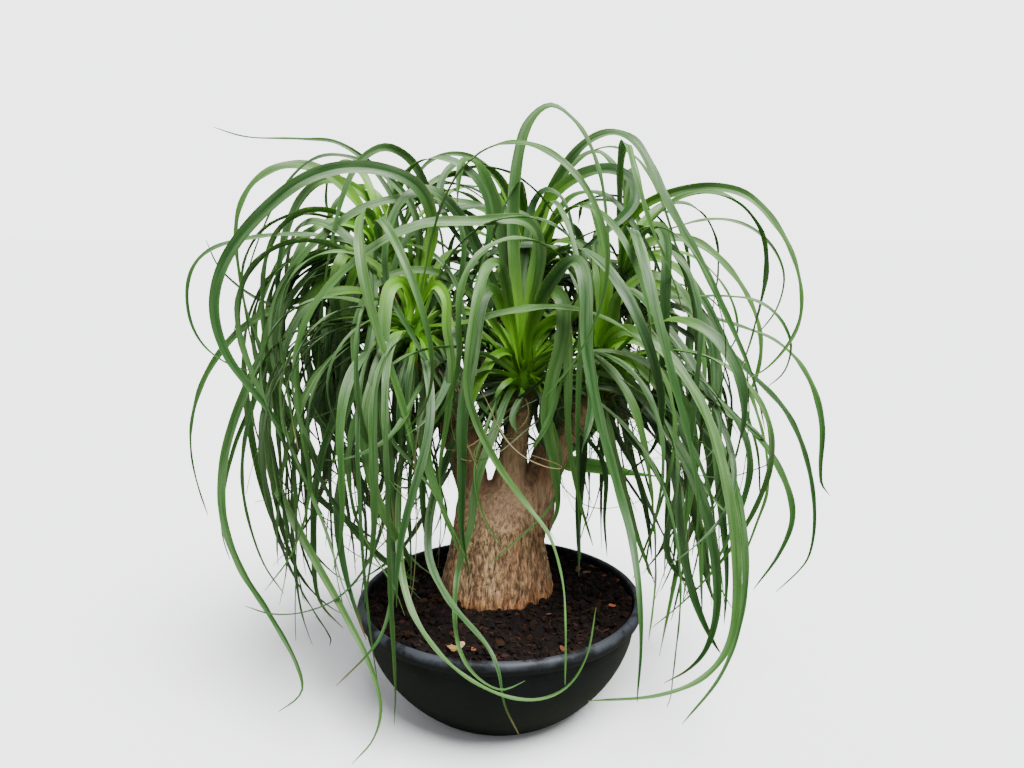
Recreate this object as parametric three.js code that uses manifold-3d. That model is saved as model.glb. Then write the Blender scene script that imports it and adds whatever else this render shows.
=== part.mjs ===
// A potted ponytail palm: a swollen bark-covered trunk that forks into six short branches,
// each with a head of long arching strap leaves, in soil in a shallow bowl pot with a rolled rim.
// Millimetres, +Z up, origin at the middle of the pot's flat bottom, -Y towards the viewer.

import * as THREE from 'three';
import Module from 'manifold-3d';

const wasm = await Module();
wasm.setup();

// Driving dimensions
const RIM_RADIUS = 140;
const POT_HEIGHT = 108;
const FOOT_RADIUS = 75;
const NECK_RADIUS = 133;
const NECK_HEIGHT = 95;
const POT_WALL = 2.5;
const POT_FLOOR = 3;
const BOWL_FULLNESS = 0.9;
const POT_SIDES = 36;
const DRAIN_RADIUS = 5;
const DRAIN_RING = 45;
const DRAIN_COUNT = 4;
const DRAIN_SIDES = 8;

const GAP = 0.3;
const SOIL_LEVEL = 99;
const SOIL_LUMP = 2.2;
const TRUNK_CENTRE = new THREE.Vector2(-3.5, 26);
const PLUG_RADIUS = 46;
const PLUG_SIDES = 24;
const PLUG_BOTTOM = 62;
const PLUG_TOP = 105;
const CORE_LENGTH = 44;
const CORE_RADIUS = 10.5;
const CORE_TOP_RADIUS = 6;
const CORE_SIDES = 8;
const BRANCH_SIDES = 9;
const LIMB_STEPS = 6;

const LEAF_ROOT_SHARE = 0.32;
const LEAF_THIN = 0.9;
const LEAF_KEEL_SHARE = 0.13;
const LEAF_CLEAR = 0.35;
const FLOOR_CLEAR = 4;
const FILL_PER_HEAD = 17;
const SEED = 4346;
const TURN = 2 * Math.PI;
const DEGREE = Math.PI / 180;
const GOLDEN_ANGLE = 137.508 * DEGREE;

// The viewer's place, from which the leaves were read: the pixel of the middle of the view,
// the focal length in pixels, and the eye's tilt, distance, height and side step.
const VIEW_CENTRE = { across: 512, down: 384 };
const VIEW_FOCAL = 820;
const VIEW_TILT = 10.89 * DEGREE;
const EYE = new THREE.Vector3(11.8, -759, 463);
const VIEW_UP = new THREE.Vector3(0, Math.sin(VIEW_TILT), Math.cos(VIEW_TILT));
const VIEW_AHEAD = new THREE.Vector3(0, Math.cos(VIEW_TILT), -Math.sin(VIEW_TILT));

// The point at depth y that is seen at the pixel (across, down).
function seen([across, down, y]) {
  const ray = VIEW_AHEAD.clone()
    .addScaledVector(VIEW_UP, (VIEW_CENTRE.down - down) / VIEW_FOCAL);
  ray.x = (across - VIEW_CENTRE.across) / VIEW_FOCAL;
  return EYE.clone().addScaledVector(ray, (y - EYE.y) / ray.y);
}

// A closed solid from corner points and triangles.
function solidOf(points, faces) {
  return new wasm.Manifold(new wasm.Mesh({
    numProp: 3,
    vertProperties: new Float32Array(points.flatMap((p) => [p.x, p.y, p.z])),
    triVerts: new Uint32Array(faces.flat()),
  }));
}

// The outer skin alone: hollows that leaves seal between them are filled.
function filled(solid) {
  return solid.decompose().reduce((most, shell) => (shell.volume() > most.volume() ? shell : most));
}

function geometryOf(solid) {
  const mesh = solid.getMesh();
  const geometry = new THREE.BufferGeometry();
  geometry.setAttribute('position', new THREE.BufferAttribute(mesh.vertProperties, 3));
  geometry.setIndex(new THREE.BufferAttribute(mesh.triVerts, 1));
  return geometry;
}

// A closed skin over rings of equal count, with a flat fan on each end.
function loft(rings) {
  const count = rings[0].length;
  const points = rings.flat();
  const faces = [];
  for (let i = 0; i < rings.length - 1; i += 1) {
    for (let j = 0; j < count; j += 1) {
      const a = i * count + j;
      const b = i * count + (j + 1) % count;
      faces.push([a, b, b + count], [a, b + count, a + count]);
    }
  }
  for (const [ring, flip] of [[0, true], [rings.length - 1, false]]) {
    const middle = new THREE.Vector3();
    rings[ring].forEach((p) => middle.add(p));
    points.push(middle.divideScalar(count));
    for (let j = 0; j < count; j += 1) {
      const a = ring * count + j;
      const b = ring * count + (j + 1) % count;
      faces.push(flip ? [b, a, points.length - 1] : [a, b, points.length - 1]);
    }
  }
  return solidOf(points, faces);
}

// A value part of the way along an evenly spaced list.
function along(values, share) {
  const place = share * (values.length - 1);
  const low = Math.min(Math.floor(place), values.length - 2);
  return THREE.MathUtils.lerp(values[low], values[low + 1], place - low);
}

function smooth(points) {
  return new THREE.CatmullRomCurve3(points, false, 'centripetal');
}

// A round limb along a smooth curve, with its radii evenly spaced along it.
function limb(points, radii, sides, steps) {
  const frames = framesAlong(smooth(points), steps, new THREE.Vector3(1, 0, 0));
  return loft(frames.map(({ point, side, face }, i) => (
    circle(point, side, face, along(radii, i / steps), sides)
  )));
}

function circle(centre, side, face, radius, sides) {
  return Array.from({ length: sides }, (_, j) => {
    const angle = (j / sides) * TURN;
    return centre.clone()
      .addScaledVector(side, radius * Math.cos(angle))
      .addScaledVector(face, radius * Math.sin(angle));
  });
}

// Points along a curve with a side and a face direction carried along without spin.
function framesAlong(curve, steps, firstSide) {
  const side = firstSide.clone();
  return Array.from({ length: steps + 1 }, (_, i) => {
    const tangent = curve.getTangent(i / steps);
    side.addScaledVector(tangent, -side.dot(tangent)).normalize();
    const face = new THREE.Vector3().crossVectors(tangent, side);
    return { point: curve.getPoint(i / steps), tangent, side: side.clone(), face };
  });
}

// A turned solid from a profile of [radius, height] that starts and ends on the axis.
function latheSolid(profile, sides) {
  const points = [];
  const rows = profile.map(([radius, z]) => {
    if (radius === 0) {
      points.push(new THREE.Vector3(0, 0, z));
      return Array(sides).fill(points.length - 1);
    }
    return Array.from({ length: sides }, (_, j) => {
      const angle = (j / sides) * TURN;
      points.push(new THREE.Vector3(radius * Math.cos(angle), radius * Math.sin(angle), z));
      return points.length - 1;
    });
  });
  const faces = [];
  for (let i = 0; i < rows.length - 1; i += 1) {
    for (let j = 0; j < sides; j += 1) {
      const k = (j + 1) % sides;
      const [a, b, c, d] = [rows[i][j], rows[i][k], rows[i + 1][k], rows[i + 1][j]];
      if (a !== b) faces.push([a, b, c]);
      if (c !== d) faces.push([a, c, d]);
    }
  }
  return solidOf(points, faces);
}

// Pot: a bowl wall on a flat foot, a rolled rim, and drain holes in the floor

const RIM_BEAD = [
  [RIM_RADIUS - 1, NECK_HEIGHT + 1.5],
  [RIM_RADIUS, NECK_HEIGHT + 6],
  [RIM_RADIUS - 1.2, POT_HEIGHT - 2.2],
  [RIM_RADIUS - 4.5, POT_HEIGHT],
  [RIM_RADIUS - 8, POT_HEIGHT - 1.2],
];

function bowlRadius(z) {
  const rise = 1 - (1 - z / NECK_HEIGHT) ** 2;
  return FOOT_RADIUS + (NECK_RADIUS - FOOT_RADIUS) * rise ** BOWL_FULLNESS;
}

const BOWL_STEPS = [9, 28, 52, 76];

function potSolid() {
  const profile = [
    [0, 0], [FOOT_RADIUS, 0],
    ...BOWL_STEPS.map((z) => [bowlRadius(z), z]),
    [NECK_RADIUS, NECK_HEIGHT], ...RIM_BEAD,
    ...BOWL_STEPS.slice().reverse().map((z) => [bowlRadius(z) - POT_WALL, z]),
    [FOOT_RADIUS - POT_WALL, POT_FLOOR], [0, POT_FLOOR],
  ];
  let pot = latheSolid(profile, POT_SIDES);
  for (let i = 0; i < DRAIN_COUNT; i += 1) {
    const angle = ((i + 0.5) / DRAIN_COUNT) * TURN;
    const x = DRAIN_RING * Math.cos(angle);
    const y = DRAIN_RING * Math.sin(angle);
    const drain = new THREE.Vector3(x, y, -1);
    pot = pot.subtract(limb([drain, drain.clone().setZ(POT_FLOOR + 1)], [DRAIN_RADIUS, DRAIN_RADIUS],
      DRAIN_SIDES, 1));
  }
  return pot;
}

// Soil: fills the bowl, lumpy on top, with a plain hole where the trunk's foot stands

const SOIL_RINGS = [
  // radius, how far the ring's middle has moved to the trunk's
  [129, 0], [116, 0.4], [94, 0.8], [68, 1],
];
// The soil lies level round the trunk, and rolls in low lumps from here outwards.
const LEVEL_TO = 70;
const LUMPY_FROM = 88;

function soilTop(x, y) {
  const away = Math.hypot(x - TRUNK_CENTRE.x, y - TRUNK_CENTRE.y);
  const loose = THREE.MathUtils.smoothstep(away, LEVEL_TO, LUMPY_FROM);
  return SOIL_LEVEL + loose * SOIL_LUMP * Math.sin(x * 0.11 + 1) * Math.cos(y * 0.13 - x * 0.05);
}

function soilSolid() {
  const rings = [];
  const ring = (radius, height, shift) => Array.from({ length: POT_SIDES }, (_, j) => {
    const x = TRUNK_CENTRE.x * shift + radius * Math.cos((j / POT_SIDES) * TURN);
    const y = TRUNK_CENTRE.y * shift + radius * Math.sin((j / POT_SIDES) * TURN);
    return new THREE.Vector3(x, y, height ?? soilTop(x, y));
  });
  rings.push(ring(FOOT_RADIUS - POT_WALL - 2 * GAP, POT_FLOOR + GAP, 0));
  BOWL_STEPS.forEach((z) => rings.push(ring(bowlRadius(z) - POT_WALL - 2 * GAP, z, 0)));
  SOIL_RINGS.forEach(([radius, shift]) => rings.push(ring(radius, null, shift)));
  const hole = new THREE.Vector3(TRUNK_CENTRE.x, TRUNK_CENTRE.y, PLUG_BOTTOM - GAP);
  return loft(rings).subtract(limb([hole, hole.clone().setZ(POT_HEIGHT)],
    [PLUG_RADIUS + GAP, PLUG_RADIUS + GAP], PLUG_SIDES, 1));
}

// Trunk: a fluted swollen foot on a round plug, forking into six limbs

const FOOT_RINGS = [
  // height, middle x, middle y, half width, half depth
  [SOIL_LEVEL + GAP, -3.5, 26, 57.5, 55],
  [108, -3.5, 26, 56.5, 54],
  [129, -3, 26, 51.5, 50],
  [150, -3, 26, 47, 46],
  [172, 1, 27, 47.5, 42],
  [188, 4, 28, 46.5, 36],
  [202, 6, 29, 36, 28],
  [210, 7, 29, 22, 20],
];
const FLUTES = 7;
const FLUTE_DEPTH = 0.035;
const FLUTE_LEAN = 0.02;
const TRUNK_SIDES = 24;

const HEADS = {
  front: { limb: [[9, 28, 176], [11, 28, 200], [11, 28, 217], [14, 28, 238], [18, 22, 266], [21, 4, 298]],
    radii: [30, 20, 13.5, 11.5, 10, 9.5] },
  left: { limb: [[-27, 26, 172], [-26, 30, 222], [-32, 22, 270], [-66, -16, 342]],
    radii: [20, 12.5, 11, 10] },
  right: { limb: [[32, 22, 172], [40, 18, 196], [47, 14, 218], [62, 4, 262], [84, -4, 298]],
    radii: [22, 15, 12, 11, 10] },
  left_back: { limb: [[-24, 34, 190], [-52, 42, 268], [-84, 38, 344], [-104, 35, 404]],
    radii: [15, 12, 10.5, 10] },
  back: { limb: [[6, 36, 190], [16, 56, 262], [24, 74, 330], [27, 80, 384]], radii: [16, 12, 10.5, 10] },
  right_back: { limb: [[28, 34, 190], [56, 60, 258], [88, 62, 320], [107, 50, 374]],
    radii: [15, 12, 10.5, 10] },
};

function trunkSolid() {
  const rings = FOOT_RINGS.map(([z, x, y, halfWidth, halfDepth]) => (
    Array.from({ length: TRUNK_SIDES }, (_, j) => {
      const angle = (j / TRUNK_SIDES) * TURN;
      const flute = 1 + FLUTE_DEPTH * Math.sin(FLUTES * angle + z * FLUTE_LEAN);
      return new THREE.Vector3(
        x + halfWidth * flute * Math.cos(angle),
        y + halfDepth * flute * Math.sin(angle),
        z,
      );
    })
  ));
  const plug = new THREE.Vector3(TRUNK_CENTRE.x, TRUNK_CENTRE.y, PLUG_BOTTOM);
  let trunk = loft(rings).add(limb([plug, plug.clone().setZ(PLUG_TOP)],
    [PLUG_RADIUS, PLUG_RADIUS], PLUG_SIDES, 1));
  for (const head of Object.values(HEADS)) {
    const way = head.limb.map((p) => new THREE.Vector3(...p));
    trunk = trunk.add(limb(way, head.radii, BRANCH_SIDES, LIMB_STEPS));
  }
  return trunk;
}

// Leaves read from the viewer's place: each row is a width, a taper (1 narrows evenly, 5 only
// near the tip), then points [across, down, depth] in pixels and millimetres, from the heart of
// the head to the leaf's tip.

const SEEN_LEAVES = {
  front: [
    [12, 2.5, [517, 300, -2], [513, 240, 0], [516, 175, 5], [528, 125, 12], [550, 106, 16], [577, 124, 10],
      [597, 165, 0], [606, 215, -10], [611, 285, -20]],
    [13, 4, [510, 325, -15], [497, 298, -30], [489, 289, -42], [480, 304, -56], [474, 345, -68],
      [465, 395, -74], [462, 440, -74], [463, 500, -70], [463, 545, -66], [469, 574, -62]],
    [12, 1.3, [511, 315, -8], [504, 277, -14], [496, 262, -26], [484, 274, -40], [477, 305, -50],
      [470, 345, -58], [468, 390, -62], [482, 432, -64], [502, 472, -64], [526, 504, -68],
      [547, 532, -82], [560, 568, -112], [565, 620, -146], [565, 685, -160]],
    [13, 5, [528, 335, -12], [540, 305, -26], [552, 291, -42], [562, 300, -54], [563, 328, -60],
      [555, 368, -66], [546, 404, -68], [549, 440, -66], [556, 476, -62], [558, 508, -58], [549, 533, -54]],
    [11, 2, [531, 342, -14], [550, 322, -34], [562, 322, -48], [568, 345, -58], [568, 385, -64],
      [568, 430, -66], [575, 480, -64], [585, 520, -60], [593, 546, -56]],
    [10, 2.5, [512, 354, -14], [498, 354, -26], [484, 372, -38], [466, 415, -46], [448, 456, -44],
      [433, 500, -40], [428, 550, -60], [442, 590, -92], [468, 622, -120], [495, 660, -148],
      [503, 700, -156], [519, 735, -142]],
    [10, 1.4, [517, 378, -12], [506, 402, -28], [490, 442, -46], [476, 484, -52], [472, 520, -52],
      [458, 572, -58], [455, 612, -88], [459, 648, -122], [478, 678, -150], [502, 690, -156],
      [525, 681, -152]],
    [12, 5, [513, 318, 2], [507, 270, 6], [500, 225, 6], [490, 188, 0], [477, 165, -12], [464, 160, -26],
      [459, 180, -36], [457, 206, -42]],
    [12, 1.5, [508, 325, 14], [489, 276, 12], [470, 232, 2], [450, 204, -10], [428, 189, -22],
      [405, 197, -34], [390, 225, -44], [385, 262, -52], [392, 300, -58], [414, 338, -64],
      [440, 384, -70], [460, 425, -72], [478, 470, -72]],
    [11, 2.2, [530, 320, -4], [539, 270, -12], [539, 238, -20], [526, 222, -28], [500, 218, -38],
      [462, 224, -50], [425, 224, -60], [392, 236, -70], [355, 262, -78], [320, 298, -84],
      [300, 338, -86], [296, 374, -87], [299, 409, -88], [307, 446, -88], [310, 489, -87],
      [302, 526, -88], [286, 566, -92], [265, 591, -96]],
    [10, 3, [526, 310, 0], [535, 262, -4], [536, 228, -10], [516, 213, -22], [480, 208, -36],
      [445, 212, -48], [416, 228, -58], [398, 258, -66], [387, 300, -72], [381, 350, -76],
      [380, 405, -76], [386, 450, -74]],
    [9, 2.5, [520, 300, 4], [527, 240, 6], [533, 205, 6], [545, 190, 2], [560, 196, -4], [572, 225, -10],
      [577, 262, -14]],
    [11, 5, [511, 300, 12], [504, 255, 16], [495, 217, 18], [485, 186, 20], [473, 158, 24]],
    [8, 2.5, [536, 372, -6], [552, 398, -10], [572, 424, -14], [592, 444, -16], [604, 466, -18],
      [606, 500, -18], [604, 530, -16], [607, 556, -14]],
    [4, 1.5, [534, 378, -22], [552, 422, -44], [561, 466, -54], [553, 502, -58], [531, 527, -60],
      [508, 549, -62], [488, 565, -64]],
    [4, 1.5, [508, 384, -22], [486, 428, -44], [475, 468, -52], [479, 503, -56], [490, 530, -58],
      [503, 548, -58]],
    [12, 3, [530, 330, -20], [546, 290, -44], [563, 267, -60], [578, 262, -70], [585, 285, -78],
      [586, 340, -84], [592, 392, -86], [605, 440, -86], [620, 496, -90], [633, 545, -110],
      [640, 600, -138], [641, 655, -150], [637, 702, -150]],
  ],
  left: [
    [12, 3, [424, 285, -20], [434, 235, -22], [425, 196, -28], [398, 174, -36], [355, 167, -46],
      [316, 174, -54], [282, 194, -60], [248, 228, -66], [223, 265, -70], [214, 302, -72],
      [220, 340, -72], [240, 376, -70], [264, 405, -66], [287, 432, -62], [300, 470, -58], [305, 510, -54]],
    [10, 2, [422, 290, -16], [429, 240, -8], [431, 208, 0], [421, 174, 6], [404, 154, 8], [385, 147, 6],
      [364, 157, 0], [348, 182, -8], [337, 220, -16], [327, 270, -24], [320, 330, -30], [318, 390, -34]],
    [9, 1.2, [416, 290, -10], [420, 240, -4], [411, 204, 0], [391, 180, 4], [366, 160, 6], [335, 142, 8],
      [298, 139, 8], [262, 138, 8], [235, 135, 8], [213, 127, 8]],
    [5, 2, [412, 285, 0], [408, 235, 8], [393, 200, 14], [372, 168, 18], [350, 157, 20], [326, 155, 20],
      [304, 165, 18], [282, 190, 16], [266, 222, 14], [250, 262, 12], [241, 305, 10], [233, 338, 8]],
    [6, 2.5, [402, 300, -10], [384, 262, -8], [355, 243, -8], [320, 236, -10], [285, 234, -14],
      [248, 239, -20], [214, 248, -26], [194, 266, -30], [187, 295, -32], [192, 325, -32],
      [207, 349, -30], [235, 367, -28], [275, 374, -24]],
    [7, 5, [400, 312, 10], [360, 297, 14], [320, 297, 16], [285, 305, 16], [250, 322, 14],
      [222, 350, 12], [202, 384, 10], [191, 430, 8], [196, 478, 8], [208, 516, 8]],
    [11, 1.1, [414, 345, -40], [411, 380, -54], [406, 425, -66], [401, 475, -76], [399, 525, -92],
      [402, 575, -118], [416, 620, -146], [445, 660, -160], [490, 691, -166], [535, 700, -166],
      [568, 686, -162], [588, 652, -156], [596, 607, -146]],
    [13, 3, [424, 342, -38], [430, 366, -52], [426, 398, -62], [423, 432, -70], [428, 468, -74],
      [438, 499, -74], [450, 527, -72], [460, 556, -68]],
    [5, 3, [408, 338, -44], [396, 352, -60], [384, 375, -72], [381, 403, -80], [388, 432, -84],
      [403, 455, -84], [426, 480, -84], [446, 515, -82], [468, 560, -78]],
    [9, 2.2, [405, 322, -38], [391, 310, -54], [380, 335, -66], [377, 385, -76], [382, 440, -82],
      [390, 495, -88], [394, 550, -98], [392, 600, -118], [380, 638, -134], [358, 665, -140],
      [336, 686, -140]],
    [10, 3, [422, 310, -30], [428, 292, -44], [437, 285, -54], [446, 298, -62], [447, 330, -68],
      [452, 370, -72], [447, 420, -74], [440, 470, -72], [444, 512, -68]],
    [12, 3.5, [412, 334, -26], [403, 352, -40], [391, 376, -50], [376, 404, -58], [356, 436, -64],
      [343, 473, -70], [338, 512, -74], [342, 556, -80], [352, 600, -88], [366, 640, -94]],
    [6, 1.5, [404, 338, -34], [396, 380, -48], [395, 430, -58], [391, 480, -64], [381, 530, -72],
      [364, 570, -80], [338, 598, -88], [305, 612, -96], [270, 614, -100], [245, 606, -102]],
    [12, 4, [413, 300, -26], [400, 282, -40], [389, 290, -52], [384, 325, -62], [382, 375, -68],
      [385, 425, -70], [392, 480, -68], [395, 530, -64]],
  ],
  right: [
    [13, 5, [598, 350, -14], [605, 312, -20], [606, 276, -22], [600, 240, -18], [591, 209, -10],
      [583, 206, 0], [578, 224, 8]],
    [13, 2.5, [600, 350, -16], [611, 322, -28], [617, 300, -36], [628, 290, -46], [646, 302, -56],
      [662, 330, -64], [676, 366, -68], [686, 405, -70]],
    [12, 3, [606, 366, -22], [626, 380, -38], [650, 408, -52], [673, 440, -64], [691, 472, -74],
      [706, 512, -82], [715, 560, -86], [717, 605, -88], [708, 645, -84], [690, 668, -76], [664, 683, -70]],
    [12, 2.2, [604, 345, -20], [622, 330, -34], [650, 340, -48], [678, 368, -60], [702, 406, -70],
      [717, 446, -78], [729, 498, -86], [736, 550, -94], [737, 600, -104], [728, 648, -116],
      [703, 678, -126], [665, 694, -132], [620, 700, -134], [588, 701, -134]],
    [9, 2.5, [604, 360, -28], [624, 360, -46], [648, 376, -58], [668, 404, -68], [687, 438, -76],
      [701, 468, -82], [712, 500, -86], [716, 530, -88]],
    [11, 2.5, [598, 396, -20], [606, 424, -32], [615, 458, -42], [627, 500, -50], [640, 545, -56],
      [655, 585, -60]],
    [8, 2.5, [606, 392, -6], [618, 420, -12], [638, 448, -16], [658, 474, -18], [672, 516, -20],
      [674, 556, -20], [660, 592, -18]],
    [10, 3, [603, 395, 2], [610, 424, 6], [628, 457, 10], [641, 490, 14], [649, 529, 18], [652, 560, 20]],
    [9, 3, [606, 350, -6], [632, 340, -12], [666, 362, -20], [699, 402, -28], [726, 456, -38],
      [741, 516, -50], [746, 568, -64], [741, 618, -82], [728, 662, -98], [704, 700, -114],
      [682, 724, -124]],
    [12, 5, [604, 392, 12], [592, 420, 24], [576, 446, 30], [566, 460, 32], [580, 464, 33], [604, 467, 33],
      [634, 475, 33], [664, 477, 33]],
    [10, 2.5, [600, 340, -6], [618, 300, -6], [644, 276, -8], [672, 282, -12], [694, 312, -18],
      [704, 360, -24], [702, 420, -28], [696, 470, -30]],
  ],
  left_back: [
    [12, 3, [380, 258, 20], [363, 262, 8], [350, 285, -2], [342, 328, -12], [340, 380, -18],
      [348, 430, -24], [362, 480, -30], [380, 530, -36]],
    [11, 2.2, [376, 255, 28], [346, 263, 18], [314, 292, 6], [289, 338, -6], [271, 390, -16],
      [267, 435, -26], [275, 482, -40], [296, 525, -56], [322, 575, -78], [347, 618, -98],
      [370, 665, -120], [381, 710, -134], [372, 742, -140], [352, 764, -144]],
    [9, 4, [372, 250, 32], [338, 254, 24], [302, 284, 14], [274, 330, 4], [253, 380, -4],
      [231, 428, -12], [222, 478, -22], [226, 530, -36], [245, 576, -52], [275, 622, -76],
      [297, 664, -96], [302, 692, -104], [278, 712, -110]],
    [7, 3, [374, 246, 42], [344, 240, 36], [312, 256, 28], [288, 292, 20], [271, 340, 10],
      [258, 392, 4], [245, 440, 0], [243, 486, -4], [252, 532, -12], [266, 568, -18], [284, 594, -26]],
    [10, 3.5, [378, 268, 10], [359, 290, -6], [349, 332, -16], [345, 380, -24], [334, 424, -32],
      [320, 462, -38], [314, 515, -42], [315, 570, -46], [320, 602, -50], [343, 628, -54]],
    [9, 4, [384, 226, 45], [370, 200, 44], [350, 185, 42], [328, 179, 40], [306, 192, 38],
      [289, 224, 34], [280, 265, 32], [278, 310, 32], [285, 350, 32], [290, 400, 32], [288, 440, 32]],
    [9, 3, [380, 240, 30], [357, 227, 24], [335, 222, 16], [314, 229, 8], [297, 256, 0], [284, 292, -8],
      [275, 335, -14], [273, 380, -18], [279, 428, -22], [292, 470, -26]],
    [6, 1.5, [374, 292, 30], [345, 300, 32], [308, 308, 34], [272, 305, 36], [245, 291, 36], [223, 272, 36],
      [212, 255, 36], [206, 240, 36]],
    [8, 4, [390, 224, 52], [378, 196, 54], [360, 186, 56], [341, 197, 58], [326, 230, 60],
      [315, 280, 62], [312, 335, 62], [319, 390, 60], [322, 440, 58]],
    [9, 3, [374, 270, 22], [350, 300, 6], [328, 345, -8], [318, 395, -18], [300, 440, -24],
      [292, 490, -28], [300, 540, -32], [318, 590, -36]],
    [7, 3, [372, 262, 40], [330, 262, 44], [296, 290, 48], [276, 330, 50], [262, 380, 50],
      [240, 430, 48], [226, 480, 46], [222, 530, 44], [230, 560, 42]],
    [6, 2.5, [372, 240, 60], [334, 222, 66], [296, 240, 70], [268, 285, 72], [256, 330, 72], [268, 372, 70],
      [288, 412, 66], [296, 470, 62]],
  ],
  back: [
    [10, 4, [535, 240, 78], [546, 200, 72], [568, 162, 58], [592, 139, 46], [613, 133, 36], [635, 142, 22],
      [654, 174, 8], [667, 202, -2], [682, 228, -8], [699, 259, -14], [716, 294, -18], [732, 328, -22],
      [745, 358, -26], [757, 392, -28], [765, 430, -30]],
    [6, 3, [538, 242, 92], [550, 202, 90], [571, 169, 80], [591, 152, 70], [613, 147, 58], [635, 157, 48],
      [653, 182, 40], [668, 220, 30], [680, 262, 22], [691, 310, 16]],
    [9, 4, [534, 238, 102], [548, 196, 104], [574, 162, 102], [598, 152, 98], [618, 172, 92],
      [634, 208, 88], [647, 252, 82], [652, 300, 78]],
    [12, 5, [532, 234, 64], [552, 196, 60], [580, 175, 50], [608, 169, 38], [630, 179, 26],
      [635, 199, 14], [619, 221, 6], [593, 240, -2], [566, 263, -8]],
    [6, 3, [519, 238, 86], [509, 205, 82], [496, 178, 74], [474, 158, 64], [448, 154, 54],
      [424, 166, 46], [409, 200, 38], [402, 245, 32]],
    [8, 3, [515, 240, 72], [506, 212, 66], [490, 188, 58], [468, 174, 50], [444, 176, 40],
      [422, 190, 30], [406, 216, 24], [396, 255, 18]],
    [10, 4, [521, 235, 92], [513, 205, 104], [505, 195, 118], [497, 215, 132], [492, 260, 142]],
    [10, 2.5, [545, 245, 58], [557, 213, 46], [572, 197, 36], [590, 192, 26], [608, 197, 16], [624, 212, 8],
      [642, 238, 2], [660, 272, -4], [672, 312, -8]],
    [8, 3, [510, 232, 60], [480, 207, 44], [440, 200, 30], [394, 199, 16], [352, 213, 4], [319, 240, -4],
      [297, 262, -10], [281, 289, -14], [270, 317, -18], [263, 352, -22], [261, 397, -26], [267, 440, -30]],
  ],
  right_back: [
    [9, 3, [620, 250, 45], [633, 215, 40], [660, 197, 30], [690, 189, 20], [718, 187, 10],
      [746, 195, 0], [769, 216, -8], [787, 244, -14], [799, 280, -18], [800, 316, -20],
      [786, 347, -24], [763, 371, -26], [740, 381, -28]],
    [5, 2.5, [620, 262, 56], [636, 245, 52], [660, 233, 46], [690, 223, 40], [719, 219, 34],
      [748, 226, 28], [772, 246, 22], [784, 275, 18], [777, 308, 16], [757, 335, 14]],
    [18, 2.5, [626, 280, 40], [648, 278, 30], [674, 292, 18], [697, 314, 6], [711, 338, -2],
      [716, 378, -6], [716, 430, -10], [719, 480, -14], [724, 530, -18], [727, 580, -22], [724, 625, -26]],
    [6, 2.5, [630, 263, 62], [660, 252, 60], [690, 255, 56], [716, 276, 52], [733, 304, 48],
      [737, 335, 46], [722, 360, 42]],
    [10, 4, [630, 255, 70], [660, 239, 70], [693, 241, 66], [719, 259, 62], [742, 288, 58],
      [757, 322, 56], [760, 355, 54], [753, 385, 54], [740, 412, 52]],
    [6, 2, [640, 288, 20], [670, 297, 10], [700, 297, 0], [731, 296, -8], [761, 303, -16],
      [781, 320, -20], [791, 345, -22], [784, 372, -22], [766, 388, -20]],
    [8, 5, [638, 292, 30], [678, 308, 20], [718, 320, 10], [757, 332, 4], [786, 349, 0],
      [808, 378, -4], [819, 408, -8], [823, 440, -10], [821, 482, -10], [830, 496, -10]],
    [8, 3.5, [630, 282, 44], [665, 292, 38], [702, 322, 30], [738, 362, 24], [768, 391, 20],
      [791, 420, 16], [806, 460, 14], [814, 505, 12], [808, 558, 10], [776, 592, 6]],
    [9, 5, [625, 302, 20], [654, 332, 10], [686, 372, 0], [716, 407, -8], [746, 425, -14],
      [769, 453, -18], [787, 487, -20], [792, 520, -22], [778, 556, -22], [753, 590, -22]],
    [8, 3.5, [630, 274, 62], [666, 282, 62], [702, 314, 60], [731, 354, 58], [752, 400, 56],
      [765, 448, 54], [767, 490, 52], [754, 530, 50], [734, 582, 46]],
    [11, 6, [622, 302, 72], [650, 334, 74], [680, 378, 74], [702, 425, 74], [711, 468, 70],
      [702, 506, 66], [686, 542, 62], [670, 590, 56]],
    [9, 3, [628, 268, 30], [652, 258, 22], [682, 272, 14], [706, 304, 8], [728, 350, 4],
      [742, 400, 2], [757, 450, 0], [760, 500, -2]],
  ],
};

// A blade: three-sided rings along a smooth path, from a narrow root to a thread-like tip

const PATH_SAMPLES = 90;
const RING_MIN = 8;
const RING_MAX = 13;
const RING_LENGTH = 76;
const ROOT_LENGTH = 45;
const RING_TURN = 30 * DEGREE;
const UP = new THREE.Vector3(0, 0, 1);
const FULL_WIDTH_AT = 0.12;
const THREAD_WIDTH = 1.4;
const TURN_ROUNDS = 30;

function leafWidth(width, taper, share) {
  const grown = THREE.MathUtils.smoothstep(share, 0, FULL_WIDTH_AT);
  const root = THREE.MathUtils.lerp(LEAF_ROOT_SHARE, 1, grown);
  return Math.max(THREAD_WIDTH, width * root * (1 - share ** taper));
}

// The rings' places: closer together where the path bends.
function ringShares(frames) {
  const travel = [0];
  let length = 0;
  let turn = 0;
  for (let i = 1; i < frames.length; i += 1) {
    const step = frames[i].point.distanceTo(frames[i - 1].point);
    const bend = frames[i].tangent.angleTo(frames[i - 1].tangent);
    length += step;
    turn += bend;
    travel.push((length + Math.min(length, ROOT_LENGTH)) / RING_LENGTH + turn / RING_TURN);
  }
  const total = travel[travel.length - 1];
  const count = THREE.MathUtils.clamp(Math.round(total), RING_MIN, RING_MAX);
  const picks = [];
  for (let i = 0, k = 0; i < count; i += 1) {
    while (travel[k] < (i / count) * total) k += 1;
    picks.push(k);
  }
  return { picks, length };
}

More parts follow.
